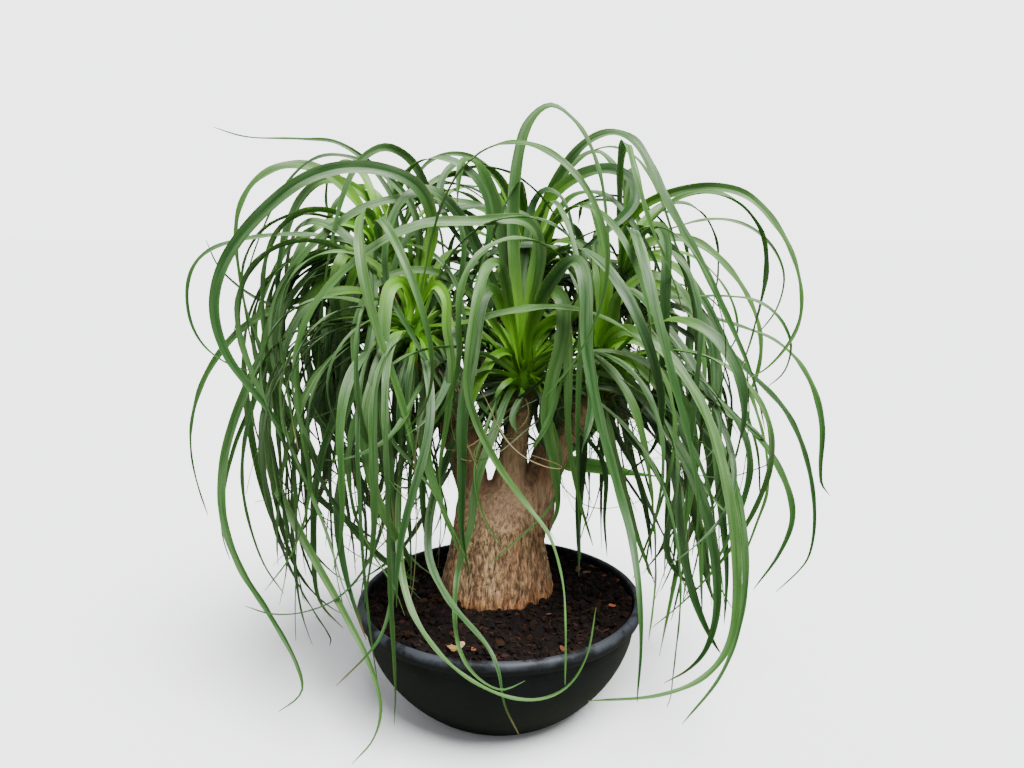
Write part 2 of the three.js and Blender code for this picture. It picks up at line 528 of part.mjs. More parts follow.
// A quick turn of the sides is spread over more of the leaf.
function spreadTurns(frames) {
  for (let round = 0; round < TURN_ROUNDS; round += 1) {
    const sides = frames.map(({ side }) => side.clone());
    for (let i = 1; i < frames.length - 1; i += 1) {
      const { side, tangent } = frames[i];
      side.add(sides[i - 1]).add(sides[i + 1]);
      side.addScaledVector(tangent, -side.dot(tangent)).normalize();
    }
  }
}

// A blade's rings: it starts face up, turns by its facing share towards the viewer's eye,
// and twists by the given angle on the way to its tip.
function bladeOf(points, width, taper, facing, twist) {
  const curve = smooth(points);
  const start = curve.getTangent(0);
  const out = points[2].clone().sub(points[0]).setZ(0).normalize();
  const face = out.clone().multiplyScalar(-start.z).addScaledVector(UP, start.dot(out));
  const frames = framesAlong(curve, PATH_SAMPLES, new THREE.Vector3().crossVectors(start, face));
  frames.reduce((last, frame, i) => {
    const share = i / PATH_SAMPLES;
    const look = frame.point.clone().sub(EYE);
    const shown = new THREE.Vector3().crossVectors(frame.tangent, look).normalize();
    if (shown.dot(last) < 0) shown.negate();
    const turned = frame.side.clone().lerp(shown, facing * Math.min(1, share * 6));
    turned.applyAxisAngle(frame.tangent, twist * share);
    turned.addScaledVector(frame.tangent, -turned.dot(frame.tangent)).normalize();
    frame.side = turned;
    return turned;
  }, frames[0].side);
  spreadTurns(frames);
  const { picks, length } = ringShares(frames);
  const rings = picks.map((k) => {
    const { point, side, tangent } = frames[k];
    const wide = leafWidth(width, taper, k / PATH_SAMPLES);
    const under = new THREE.Vector3().crossVectors(tangent, side).normalize();
    const keel = Math.max(LEAF_THIN, LEAF_KEEL_SHARE * wide);
    return {
      tangent,
      corners: [
        point.clone().addScaledVector(side, -wide / 2),
        point.clone().addScaledVector(side, wide / 2),
        point.clone().addScaledVector(under, keel),
      ],
    };
  });
  return { rings, tip: frames[PATH_SAMPLES].point, length };
}

// Two triangles for the step between corners a, b of one ring and c, d of the next. They meet
// along the diagonal that stands out, so a twisted step never turns inside out.
function stepFaces(points, a, b, c, d) {
  const [pa, pb, pc, pd] = [a, b, c, d].map((index) => points[index]);
  const normal = pb.clone().sub(pa).cross(pc.clone().sub(pa));
  const standsOut = normal.dot(pd.clone().sub(pa)) <= 0;
  return standsOut ? [[a, b, c], [b, d, c]] : [[a, b, d], [a, d, c]];
}

function bladeSolid({ rings, tip }) {
  const points = [...rings.flatMap((ring) => ring.corners), tip];
  const faces = [[0, 2, 1]];
  const last = rings.length - 1;
  for (let i = 0; i <= last; i += 1) {
    for (let j = 0; j < 3; j += 1) {
      const a = i * 3 + j;
      const b = i * 3 + (j + 1) % 3;
      if (i === last) {
        faces.push([a, b, points.length - 1]);
      } else {
        faces.push(...stepFaces(points, a, b, a + 3, b + 3));
      }
    }
  }
  return solidOf(points, faces);
}

// Clearance: every blade's steps are boxed, and a blade is placed only where its boxes are free

const CELL = 40;

function boxOf(low, high) {
  const points = [...low, ...high];
  const way = high[2].clone().sub(low[2]).normalize();
  const side = low[1].clone().sub(low[0]).add(high[1]).sub(high[0]);
  side.addScaledVector(way, -side.dot(way)).normalize();
  const axes = [way, side, new THREE.Vector3().crossVectors(way, side)];
  const centre = new THREE.Vector3();
  const half = axes.map((axis) => {
    const places = points.map((p) => p.dot(axis));
    const least = Math.min(...places);
    const most = Math.max(...places);
    centre.addScaledVector(axis, (least + most) / 2);
    return (most - least) / 2 + LEAF_CLEAR;
  });
  const reach = new THREE.Vector3(...['x', 'y', 'z'].map((letter) => (
    axes.reduce((sum, axis, i) => sum + Math.abs(axis[letter]) * half[i], 0)
  )));
  return { axes, centre, half, least: centre.clone().sub(reach), most: centre.clone().add(reach) };
}

// Two turned boxes are apart when one of their axes, or a cross product of two, parts them.
function boxesCross(a, b) {
  if (a.least.x > b.most.x || a.most.x < b.least.x || a.least.y > b.most.y
    || a.most.y < b.least.y || a.least.z > b.most.z || a.most.z < b.least.z) return false;
  const apart = b.centre.clone().sub(a.centre);
  const clearAlong = (axis) => {
    if (axis.lengthSq() < 1e-8) return false;
    const reach = a.axes.reduce((sum, own, i) => sum + Math.abs(own.dot(axis)) * a.half[i], 0)
      + b.axes.reduce((sum, own, i) => sum + Math.abs(own.dot(axis)) * b.half[i], 0);
    return Math.abs(apart.dot(axis)) > reach;
  };
  if (a.axes.some(clearAlong) || b.axes.some(clearAlong)) return false;
  return !a.axes.some((p) => b.axes.some((q) => clearAlong(new THREE.Vector3().crossVectors(p, q))));
}

const grid = new Map();

function cellsOf(box) {
  const cells = [];
  const range = (letter) => [Math.floor(box.least[letter] / CELL), Math.floor(box.most[letter] / CELL)];
  const [[x0, x1], [y0, y1], [z0, z1]] = ['x', 'y', 'z'].map(range);
  for (let x = x0; x <= x1; x += 1) {
    for (let y = y0; y <= y1; y += 1) {
      for (let z = z0; z <= z1; z += 1) cells.push(`${x},${y},${z}`);
    }
  }
  return cells;
}

function keepBox(box) {
  for (const cell of cellsOf(box)) {
    if (!grid.has(cell)) grid.set(cell, []);
    grid.get(cell).push(box);
  }
}

// Round limbs and cores as points with a radius, for the same test.
const knobs = [];
const KNOB_CLEAR = 2.5;
const POT_CLEAR = 1.5;
const FOOT_CLEAR = 4;
const FOLD_CLEAR = 0.3;
const EDGE_SHARES = [0, 0.25, 0.5, 0.75, 1];

function potInTheWay(point) {
  const radius = Math.hypot(point.x, point.y);
  if (point.z < FLOOR_CLEAR) return true;
  if (point.z > POT_HEIGHT + POT_CLEAR) return false;
  const wall = point.z > NECK_HEIGHT - 2 ? RIM_RADIUS : bowlRadius(point.z);
  const overSoil = point.z > SOIL_LEVEL + SOIL_LUMP + POT_CLEAR;
  const inside = radius < NECK_RADIUS - 2 * POT_WALL - 0.5 && overSoil;
  return radius < wall + POT_CLEAR && !inside;
}

function footInTheWay(point) {
  const top = FOOT_RINGS.findIndex(([z]) => z > point.z);
  if (top < 1) return false;
  const [z0, x0, y0, a0, b0] = FOOT_RINGS[top - 1];
  const [z1, x1, y1, a1, b1] = FOOT_RINGS[top];
  const share = (point.z - z0) / (z1 - z0);
  const mix = (p, q) => THREE.MathUtils.lerp(p, q, share);
  const across = (point.x - mix(x0, x1)) / (mix(a0, a1) + FOOT_CLEAR);
  const deep = (point.y - mix(y0, y1)) / (mix(b0, b1) + FOOT_CLEAR);
  return across ** 2 + deep ** 2 < 1;
}

// Near its own heart a leaf may pass close by its limb, and it grows out of its own core.
function knobInTheWay(point, head, near) {
  const fromHeart = point.distanceTo(head.heartPoint);
  return knobs.some((knob) => {
    if (knob.head === head && fromHeart < CORE_LENGTH) return false;
    const clear = fromHeart < near ? 0 : KNOB_CLEAR;
    return knob.point.distanceTo(point) < knob.radius + clear;
  });
}

// Each ring lies wholly ahead of the one before it.
function foldsBack(ring, next) {
  const steps = ring.corners.map((p, j) => next.corners[j].clone().sub(p));
  const behind = (tangent) => steps.some((step) => step.dot(tangent) < FOLD_CLEAR);
  return behind(ring.tangent) || (next.tangent !== null && behind(next.tangent));
}

// How a blade would lie: its boxes, or null where it crosses anything or folds into itself.
function boxesIfClear(blade, head, near) {
  const boxes = [];
  for (let i = 0; i < blade.rings.length; i += 1) {
    const ring = blade.rings[i];
    const next = blade.rings[i + 1] ?? { corners: [blade.tip, blade.tip, blade.tip], tangent: null };
    if (foldsBack(ring, next)) return null;
    for (let k = 0; k < 3; k += 1) {
      for (const share of EDGE_SHARES) {
        const point = ring.corners[k].clone().lerp(next.corners[k], share);
        if (potInTheWay(point) || footInTheWay(point) || knobInTheWay(point, head, near)) return null;
      }
    }
    const inHeart = ring.corners[2].distanceTo(head.heartPoint) < near;
    boxes.push({ ...boxOf(ring.corners, next.corners), head, inHeart });
  }
  for (const box of boxes) {
    for (const cell of cellsOf(box)) {
      for (const other of grid.get(cell) ?? []) {
        const sameHeart = box.inHeart && other.inHeart && other.head === head;
        if (!sameHeart && boxesCross(box, other)) return null;
      }
    }
  }
  return boxes;
}

// Heads: a tapered leaf core seated on its limb, and the leaves that grow from it

// Share of the core below its bend, where it turns from the limb's lean towards upright.
const CORE_BEND_AT = 0.45;
const CORE_COLLAR = 4;
const BRANCH_KNOBS = 16;
const CORE_KNOBS = 6;

function makeHead(name, { limb: way, radii }) {
  const branch = smooth(way.map((p) => new THREE.Vector3(...p)));
  const lean = branch.getTangent(1);
  const foot = branch.getPoint(1).addScaledVector(lean, GAP);
  const middle = foot.clone().addScaledVector(lean, CORE_LENGTH * CORE_BEND_AT);
  const rise = lean.clone().addScaledVector(UP, 2).normalize();
  const top = middle.clone().addScaledVector(rise, CORE_LENGTH * (1 - CORE_BEND_AT));
  const core = [foot, foot.clone().addScaledVector(lean, CORE_COLLAR), middle, top];
  const coreRadii = [CORE_RADIUS, CORE_RADIUS, CORE_RADIUS, CORE_TOP_RADIUS];
  const head = {
    name,
    core: limb(core, coreRadii, CORE_SIDES, 3),
    axis: smooth(core),
    heartPoint: middle,
    blades: [],
  };
  for (let i = 0; i <= BRANCH_KNOBS; i += 1) {
    const share = i / BRANCH_KNOBS;
    knobs.push({ point: branch.getPoint(share * 0.97), radius: along(radii, share) + 2 * GAP, head: null });
  }
  for (let i = 0; i <= CORE_KNOBS; i += 1) {
    knobs.push({ point: head.axis.getPoint(i / CORE_KNOBS), radius: CORE_RADIUS, head });
  }
  return head;
}

// Within this distance of the heart a head's own leaves may grow through each other.
const HEART_NEAR = 26;
const SEEN_HEART_NEAR = 42;

function place(head, blade, near) {
  const boxes = boxesIfClear(blade, head, near);
  if (!boxes) return false;
  boxes.forEach(keepBox);
  head.blades.push(blade);
  return true;
}

// Where on the core a leaf is rooted: the steeper it leaves, the higher up.
function rootOn(head, rise) {
  return head.axis.getPointAt(THREE.MathUtils.clamp(0.55 + 0.35 * rise, 0.3, 0.85));
}

// A leaf read from the view keeps its picture, and is bent nearer or farther until it is clear:
// evenly over its whole length, or mostly in its first third.
const DEPTH_STEP = 5;
const DEPTH_STEPS = 20;
const BEND_SHARES = [1, 0.35];
const SEEN_FACING = 0.85;
const LOWEST = FLOOR_CLEAR + 2;

function seenPath(points, shift, bendShare) {
  return points.map(([across, down, y], i) => {
    const share = Math.min(1, (i + 1) / (points.length * bendShare));
    const point = seen([across, down, y + shift * share]);
    point.z = Math.max(point.z, LOWEST);
    return point;
  });
}

function placeSeen(head, [width, taper, ...points]) {
  for (let step = 0; step <= DEPTH_STEPS; step += 1) {
    for (const sign of step ? [-1, 1] : [1]) {
      for (const bendShare of BEND_SHARES) {
        const path = seenPath(points, sign * step * DEPTH_STEP, bendShare);
        const way = path[0].clone().sub(head.heartPoint).normalize();
        const blade = bladeOf([rootOn(head, way.z), ...path], width, taper, SEEN_FACING, 0);
        if (place(head, blade, SEEN_HEART_NEAR)) return;
      }
    }
  }
}

// The other leaves spiral round the core: the young ones stand, the old ones hang. Where one
// finds no clear way, it is drawn again with a wider spread, and at last left out.
const FILL_TRIES = 90;
const FILL_STEPS = 12;
const FILL_FACING = 0.3;
const SWAY_TURN = 5;
const REACH = { middle: new THREE.Vector2(12, 30), across: 262, deep: 205, top: 540 };
const NARROWER_LOW = 0.84;
const HIGHEST_NARROW = 240;

function seededRandom(seed) {
  let state = seed;
  return () => {
    state = (state * 1664525 + 1013904223) % 4294967296;
    return state / 4294967296;
  };
}

// The path climbs, arches over and hangs, sways from side to side, and curls in or out.
function archedPath(head, { azimuth, rise, fall, length, bendAt, sweep, curl, sway }) {
  const path = [rootOn(head, Math.sin(rise))];
  const aside = new THREE.Vector3(-Math.sin(azimuth), Math.cos(azimuth), 0);
  for (let i = 0; i < FILL_STEPS; i += 1) {
    const share = (i + 0.5) / FILL_STEPS;
    const droop = THREE.MathUtils.smoothstep(share, bendAt - 0.3, bendAt + 0.38);
    const pitch = THREE.MathUtils.lerp(rise, fall, droop) + curl * share ** 2;
    const heading = azimuth + sweep * share ** 2;
    const step = new THREE.Vector3(
      Math.cos(pitch) * Math.cos(heading),
      Math.cos(pitch) * Math.sin(heading),
      Math.sin(pitch),
    );
    step.addScaledVector(aside, sway * share * Math.sin(SWAY_TURN * share + azimuth));
    path.push(path[i].clone().addScaledVector(step.normalize(), length / FILL_STEPS));
  }
  return path;
}

// The trunk and the pot's front stay open to view between the leaves that hang there.
function hidesFront(point) {
  const trunk = point.x > -62 && point.x < 72 && point.y < 10 && point.z < 270;
  const pot = point.x > -120 && point.x < 120 && point.y < 0 && point.z < 130;
  return trunk || pot;
}

// The plant's own dome: an oval that narrows a little towards the floor.
function outOfReach(point) {
  const low = THREE.MathUtils.smoothstep(point.z, 0, HIGHEST_NARROW);
  const share = THREE.MathUtils.lerp(NARROWER_LOW, 1, low);
  const across = (point.x - REACH.middle.x) / REACH.across;
  const deep = (point.y - REACH.middle.y) / REACH.deep;
  return Math.hypot(across, deep) > share || point.z > REACH.top || point.z < LOWEST;
}

function placeFill(head, index, count, random) {
  const age = index / (count - 1);
  for (let attempt = 0; attempt < FILL_TRIES; attempt += 1) {
    const spread = 0.25 + attempt / FILL_TRIES;
    const fullLength = 280 + 190 * Math.sin(Math.PI * Math.min(1, 0.2 + age * 0.75));
    const course = {
      azimuth: index * GOLDEN_ANGLE + head.phase + (random() - 0.5) * 2.4 * spread,
      rise: (80 - 92 * age + (random() - 0.5) * 34 * spread) * DEGREE,
      fall: (-106 + random() * 26) * DEGREE,
      length: fullLength * (0.7 + 0.45 * random()),
      bendAt: 0.2 + 0.3 * random(),
      sweep: (random() - 0.5) * 2.2,
      curl: (-50 + random() * 75) * DEGREE,
      sway: 0.25 + 0.6 * random(),
    };
    const width = 7 + 5.5 * random();
    const taper = 1.6 + 2.4 * random();
    const twist = (random() - 0.5) * 2.2;
    const path = archedPath(head, course);
    const sample = path.slice(2);
    if (!sample.some(outOfReach) && !sample.some(hidesFront)
      && place(head, bladeOf(path, width, taper, FILL_FACING, twist), HEART_NEAR)) return;
  }
}

const heads = Object.entries(HEADS).map(([name, head], i) => (
  Object.assign(makeHead(name, head), { phase: i * 0.9 })
));
heads.forEach((head) => SEEN_LEAVES[head.name].forEach((leaf) => placeSeen(head, leaf)));
const random = seededRandom(SEED);
for (let index = 0; index < FILL_PER_HEAD; index += 1) {
  heads.forEach((head) => placeFill(head, index, FILL_PER_HEAD, random));
}

// The finished plant

const CHARCOAL = new THREE.MeshStandardMaterial({ color: 0x2b2e33, roughness: 0.6, metalness: 0 });
const DARK_SOIL = new THREE.MeshStandardMaterial({ color: 0x22160f, roughness: 0.95, metalness: 0 });
const BARK = new THREE.MeshStandardMaterial({ color: 0x9a7a58, roughness: 0.9, metalness: 0 });
const LEAF_GREEN = new THREE.MeshStandardMaterial({ color: 0x4d7a3c, roughness: 0.5, metalness: 0 });

const plant = new THREE.Group();

function addPart(name, solid, material) {
  const mesh = new THREE.Mesh(geometryOf(solid), material);
  mesh.name = name;
  plant.add(mesh);
}

addPart('pot', potSolid(), CHARCOAL);
addPart('soil', soilSolid(), DARK_SOIL);
addPart('trunk', trunkSolid(), BARK);
for (const head of heads) {
  const leaves = head.blades.map(bladeSolid);
  const crown = leaves.reduce((all, leaf) => all.add(leaf), head.core);
  addPart(`${head.name}_head`, filled(crown), LEAF_GREEN);
}

export default plant;
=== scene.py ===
import math
import random

import bmesh
import bpy
import numpy as np
from mathutils import Matrix, Vector, noise


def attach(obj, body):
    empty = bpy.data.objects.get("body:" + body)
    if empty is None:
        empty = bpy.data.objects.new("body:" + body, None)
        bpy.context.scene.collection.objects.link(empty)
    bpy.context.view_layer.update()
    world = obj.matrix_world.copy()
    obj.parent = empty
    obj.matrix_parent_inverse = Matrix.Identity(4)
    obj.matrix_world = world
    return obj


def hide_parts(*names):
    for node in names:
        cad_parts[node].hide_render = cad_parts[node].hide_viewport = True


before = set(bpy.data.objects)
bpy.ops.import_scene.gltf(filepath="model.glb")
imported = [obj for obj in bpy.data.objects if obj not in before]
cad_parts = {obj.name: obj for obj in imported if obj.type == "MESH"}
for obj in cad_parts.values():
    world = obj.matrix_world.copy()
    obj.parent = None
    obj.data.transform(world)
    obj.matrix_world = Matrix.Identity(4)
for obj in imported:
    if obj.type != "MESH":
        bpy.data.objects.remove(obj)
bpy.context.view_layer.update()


# The view
# A wide pale floor that runs into a pale surround, under one big soft light from above, in
# front and to the right. The camera stands where the photograph was taken from.

EYE = (0.0118, -0.759, 0.463)
LOOK_DOWN = math.radians(10.89)
FOCAL_PIXELS = 820
IMAGE_WIDTH = 1024
IMAGE_HEIGHT = 768
SENSOR_WIDTH = 36
FLOOR_SEEN = (0.93, 0.94, 0.95)
# The floor looks pale but throws back less light than a white one would.
FLOOR_UNSEEN = (0.13, 0.14, 0.11)
SURROUND = (0.97, 0.98, 1.0)
SURROUND_LIGHT = 0.66
SURROUND_SEEN = 3.75
KEY_STRENGTH = 11.0
KEY_SOFTNESS = math.radians(38)
KEY_DIRECTION = Vector((-0.35, 0.5, -1.3))


def new_object(name, data):
    piece = bpy.data.objects.new(name, data)
    bpy.context.scene.collection.objects.link(piece)
    return piece


def pick_out(*pieces):
    """Selects these pieces and no others, with the first of them active."""
    bpy.ops.object.select_all(action="DESELECT")
    for piece in reversed(pieces):
        piece.select_set(True)
        bpy.context.view_layer.objects.active = piece


def new_material(name):
    material = bpy.data.materials.new(name)
    material.use_nodes = True
    return material, material.node_tree


def feed(tree, node, inputs):
    """Gives a node's inputs, by name or number, other nodes' outputs or plain values."""
    for key, value in inputs.items():
        socket = node.inputs[key]
        if isinstance(value, bpy.types.NodeSocket):
            tree.links.new(value, socket)
        else:
            socket.default_value = (*value, 1) if socket.type == "RGBA" else value


def add_node(tree, kind, inputs, **settings):
    node = tree.nodes.new("ShaderNode" + kind)
    for key, value in settings.items():
        setattr(node, key, value)
    feed(tree, node, inputs)
    return node


def between(tree, value, low, high, to_low, to_high):
    """The value, with its stretch from low to high mapped to another stretch."""
    inputs = {"Value": value, "From Min": low, "From Max": high, "To Min": to_low, "To Max": to_high}
    return add_node(tree, "MapRange", inputs).outputs["Result"]


def mixed(tree, factor, first, second, blend="MIX"):
    """The first colour turned towards the second."""
    return add_node(tree, "Mix", {"Factor": factor, 6: first, 7: second},
                    data_type="RGBA", blend_type=blend).outputs[2]


camera = new_object("camera", bpy.data.cameras.new("camera"))
camera.location = EYE
camera.rotation_euler = (math.pi / 2 - LOOK_DOWN, 0, 0)
camera.data.sensor_width = SENSOR_WIDTH
camera.data.lens = SENSOR_WIDTH * FOCAL_PIXELS / IMAGE_WIDTH
camera.data.clip_start = 0.02
bpy.context.scene.camera = camera

pick_out()
bpy.ops.mesh.primitive_plane_add(size=60, location=(0, 0, 0))
floor = bpy.context.object
floor.name = "floor"
floor_paint, tree = new_material("pale floor")
seen = add_node(tree, "LightPath", {}).outputs["Is Camera Ray"]
feed(tree, tree.nodes["Principled BSDF"], {
    "Base Color": mixed(tree, seen, FLOOR_UNSEEN, FLOOR_SEEN), "Roughness": 1.0,
    "Specular IOR Level": 0.0})
floor.data.materials.append(floor_paint)

world = bpy.data.worlds.new("studio")
world.use_nodes = True
tree = world.node_tree
seen = add_node(tree, "LightPath", {}).outputs["Is Camera Ray"]
feed(tree, tree.nodes["Background"], {
    "Color": SURROUND, "Strength": between(tree, seen, 0, 1, SURROUND_LIGHT, SURROUND_SEEN)})
bpy.context.scene.world = world

key_light = new_object("soft key light", bpy.data.lights.new("soft key light", "SUN"))
key_light.data.energy = KEY_STRENGTH
key_light.data.angle = KEY_SOFTNESS
key_light.rotation_euler = KEY_DIRECTION.to_track_quat("-Z", "Y").to_euler()


# Pot
# A thin bowl moulded in charcoal plastic: a flat foot, a swelling wall, a groove under the
# rim, and a rim rolled over to a lip. Four drain holes go through its floor.

RIM_RADIUS = 0.140
POT_HEIGHT = 0.108
FOOT_RADIUS = 0.075
FOOT_EDGE = 0.0012
NECK_RADIUS = 0.133
NECK_HEIGHT = 0.095
POT_WALL = 0.0025
POT_FLOOR = 0.003
BOWL_FULLNESS = 0.9
WALL_RINGS = 22
POT_SIDES = 144
DRAIN_COUNT = 4
DRAIN_RADIUS = 0.005
DRAIN_RING = 0.045
RIM_OUTLINE = [
    (0.1316, 0.0928), (0.1313, 0.0944), (0.1336, 0.0950), (0.1374, 0.0956), (0.1391, 0.0972),
    (0.1399, 0.0995), (0.1399, 0.1022), (0.1391, 0.1047), (0.1377, 0.1066), (0.1358, 0.1077),
    (0.1341, 0.1079), (0.1327, 0.1073), (0.1320, 0.1060), (0.1316, 0.1035), (0.1312, 0.0990),
    (0.1304, 0.0950),
]


def bowl_radius(z):
    rise = 1 - (1 - z / NECK_HEIGHT) ** 2
    return FOOT_RADIUS + (NECK_RADIUS - FOOT_RADIUS) * max(rise, 0) ** BOWL_FULLNESS


def mesh_object(name, points, edges, faces):
    mesh = bpy.data.meshes.new(name)
    mesh.from_pydata(points, edges, faces)
    return new_object(name, mesh)


def edit_all():
    """Opens the active piece in edit mode, with all of it selected."""
    bpy.ops.object.mode_set(mode="EDIT")
    bpy.ops.mesh.select_all(action="SELECT")


def apply_modifier(piece, kind, **settings):
    modifier = piece.modifiers.new(kind.lower(), kind)
    for key, value in settings.items():
        setattr(modifier, key, value)
    pick_out(piece)
    bpy.ops.object.modifier_apply(modifier=modifier.name)


def shade_smooth(piece, degrees):
    pick_out(piece)
    bpy.ops.object.shade_smooth_by_angle(angle=math.radians(degrees))


wall_heights = [FOOT_EDGE + (NECK_HEIGHT - FOOT_EDGE) * (i / WALL_RINGS) ** 1.35
                for i in range(WALL_RINGS)]
outer_wall = [(bowl_radius(z), z) for z in wall_heights]
inner_wall = [(bowl_radius(z) - POT_WALL, z) for z in reversed(wall_heights) if z > 2 * POT_FLOOR]
pot_outline = (
    [(0, 0), (FOOT_RADIUS - 0.001, 0)] + outer_wall + RIM_OUTLINE + inner_wall
    + [(FOOT_RADIUS - POT_WALL - 0.0006, POT_FLOOR), (0, POT_FLOOR)])
pot = mesh_object("pot_bowl", [(r, 0, z) for r, z in pot_outline],
                  [(i, i + 1) for i in range(len(pot_outline) - 1)], [])
pick_out(pot)
edit_all()
bpy.ops.mesh.spin(steps=POT_SIDES, angle=2 * math.pi, center=(0, 0, 0), axis=(0, 0, 1))
bpy.ops.mesh.select_all(action="SELECT")
bpy.ops.mesh.remove_doubles(threshold=1e-6)
bpy.ops.mesh.normals_make_consistent(inside=False)
bpy.ops.object.mode_set(mode="OBJECT")

drains = []
for index in range(DRAIN_COUNT):
    angle = (index + 0.5) * 2 * math.pi / DRAIN_COUNT
    pick_out()
    bpy.ops.mesh.primitive_cylinder_add(
        vertices=24, radius=DRAIN_RADIUS, depth=0.02,
        location=(DRAIN_RING * math.cos(angle), DRAIN_RING * math.sin(angle), 0))
    drains.append(bpy.context.object)
pick_out(*drains)
bpy.ops.object.join()
cutter = bpy.context.object
apply_modifier(pot, "BOOLEAN", object=cutter, operation="DIFFERENCE", solver="EXACT")
bpy.data.objects.remove(cutter)
for vertex in pot.data.vertices:
    # A thin moulded bowl is never quite round or level.
    turn = math.atan2(vertex.co.y, vertex.co.x)
    share = vertex.co.z / POT_HEIGHT
    vertex.co.x *= 1 - 0.0022 * share * (1 + math.cos(2 * turn + 0.6))
    vertex.co.y *= 1 - 0.0022 * share * (1 + math.sin(3 * turn))
    vertex.co.z *= 1 - 0.004 * share * (1 + math.sin(2 * turn + 1.1))
shade_smooth(pot, 35)


def calculated(tree, operation, *values):
    node = add_node(tree, "Math", dict(enumerate(values)), operation=operation)
    return node.outputs[0]


def object_place(tree):
    return add_node(tree, "TexCoord", {}).outputs["Object"]


def stretched(tree, place, scale):
    return add_node(tree, "Mapping", {"Vector": place, "Scale": scale}).outputs["Vector"]


def clouds(tree, place, scale, detail, roughness=0.5, output="Fac"):
    """Soft noise that runs from 0 to 1."""
    inputs = {"Vector": place, "Scale": scale, "Detail": detail, "Roughness": roughness}
    return add_node(tree, "TexNoise", inputs).outputs[output]


def toned(tree, value, *stops):
    """A colour for a value, from stops that each have a value and a colour."""
    node = add_node(tree, "ValToRGB", {"Fac": value})
    elements = node.color_ramp.elements
    for element, (position, color) in zip(elements, (stops[0], stops[-1])):
        element.position = position
        element.color = (*color, 1)
    for position, color in stops[1:-1]:
        elements.new(position).color = (*color, 1)
    return node.outputs["Color"]


def parts_of(tree, vector):
    return add_node(tree, "SeparateXYZ", {"Vector": vector}).outputs


def surface(tree, color, roughness, gloss, height, strength, depth):
    """Wires the shader of a material, with a fine relief."""
    relief = {"Height": height, "Strength": strength, "Distance": depth}
    feed(tree, tree.nodes["Principled BSDF"], {
        "Base Color": color, "Roughness": roughness, "Specular IOR Level": gloss,
        "Normal": add_node(tree, "Bump", relief).outputs["Normal"]})


# A paler colour in soft patches, most of it where a surface looks up: settled dust, and painted light
# on the faces that look up to the lamp.
dust_and_top_light_group = tree = bpy.data.node_groups.new("settled dust", "ShaderNodeTree")
for label, kind in (("Color", "Color"), ("Dust And Light Color", "Color"), ("Vector", "Vector"),
                    ("Scale", "Float"), ("Amount", "Float"), ("Bare Sides", "Float")):
    tree.interface.new_socket(label, in_out="INPUT", socket_type=f"NodeSocket{kind}")
tree.interface.new_socket("Color", in_out="OUTPUT", socket_type="NodeSocketColor")
entry = tree.nodes.new("NodeGroupInput").outputs
facing = add_node(tree, "NewGeometry", {}).outputs["Normal"]
upward = between(tree, parts_of(tree, facing)["Z"], 0, 0.9, entry["Bare Sides"], 1)
patches = clouds(tree, entry["Vector"], entry["Scale"], 6, 0.65)
dust_and_top_light = calculated(tree, "MULTIPLY", upward, between(tree, patches, 0.42, 0.68, 0, 1))
dust_and_top_light = calculated(tree, "MULTIPLY", dust_and_top_light, entry["Amount"])
feed(tree, tree.nodes.new("NodeGroupOutput"), {
    "Color": mixed(tree, dust_and_top_light, entry["Color"], entry["Dust And Light Color"])})


def paint_pot():
    material, tree = new_material("charcoal plastic")
    place = object_place(tree)
    cloudy = clouds(tree, place, 22, 5, 0.6)
    color = toned(tree, cloudy, (0.35, (0.0019, 0.0027, 0.0032)), (0.7, (0.0046, 0.0061, 0.0074)))
    # Settled dust and painted light: the faces that look up, the rim's top most of all, are painted a
    # paler slate, as if lit from above.
    color = add_node(tree, "Group", {
        "Color": color, "Dust And Light Color": (0.034, 0.039, 0.047), "Vector": place, "Scale": 38,
        "Amount": 2.2, "Bare Sides": 0.03}, node_tree=dust_and_top_light_group).outputs["Color"]
    # Scuffs run round the rim and wall, from stacking.
    scuffs = clouds(tree, stretched(tree, place, (30, 30, 420)), 1, 4, 0.7)
    color = mixed(tree, between(tree, scuffs, 0.6, 0.78, 0, 0.45), color, (0.040, 0.046, 0.050))
    roughness = between(tree, cloudy, 0, 1, 0.40, 0.60)
    surface(tree, color, roughness, 0.20, clouds(tree, place, 900, 3), 0.2, 0.0003)
    return material


pot.data.materials.clear()
pot.data.materials.append(paint_pot())
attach(pot, "root")
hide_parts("pot")


# Soil
# A damp, nearly black coco and bark mix that fills the bowl to just under its rim. It lies
# in lumps, a little higher in the middle, and closes round the foot of the trunk.

SOIL_LEVEL = 0.099
TRUNK_X = -0.0035
TRUNK_Y = 0.026
PLUG_RADIUS = 0.0463
PLUG_BOTTOM = 0.0617
SOIL_EDGE = 0.1296
SOIL_RINGS = 54
SOIL_SIDES = 220
BURIED_HEIGHTS = [0.0034, 0.009, 0.028, 0.052, 0.076, 0.090]


def soil_height(x, y):
    """The height of the lumpy soil: broad rolls, clods and grit."""
    spot = Vector((x, y, 0))
    rolls = noise.noise(spot * 28) * 0.0034
    clods = (0.3 - abs(noise.noise(spot * 75 + Vector((3, 1, 7))))) * 0.0062
    grit = noise.noise(spot * 300) * 0.0014
    edge = max(0.0, math.hypot(x, y) - 0.112) / 0.018
    return SOIL_LEVEL + 0.0012 + rolls + clods + grit - 0.0018 * edge


def soil_ring(radius, shift):
    """A ring of points whose middle moves from the bowl's to the trunk's."""
    turns = [2 * math.pi * i / SOIL_SIDES for i in range(SOIL_SIDES)]
    return [(TRUNK_X * shift + radius * math.cos(a), TRUNK_Y * shift + radius * math.sin(a))
            for a in turns]


def ring_faces(rings, sides, first=0):
    """The faces of a skin over rings of numbered points, closed at both ends."""
    at = first + np.arange(rings * sides).reshape(rings, sides)
    onward = np.roll(at, -1, axis=1)
    quads = np.stack([at[:-1], onward[:-1], onward[1:], at[1:]], axis=-1).reshape(-1, 4)
    return quads.tolist() + [at[0][::-1].tolist(), at[-1].tolist()]


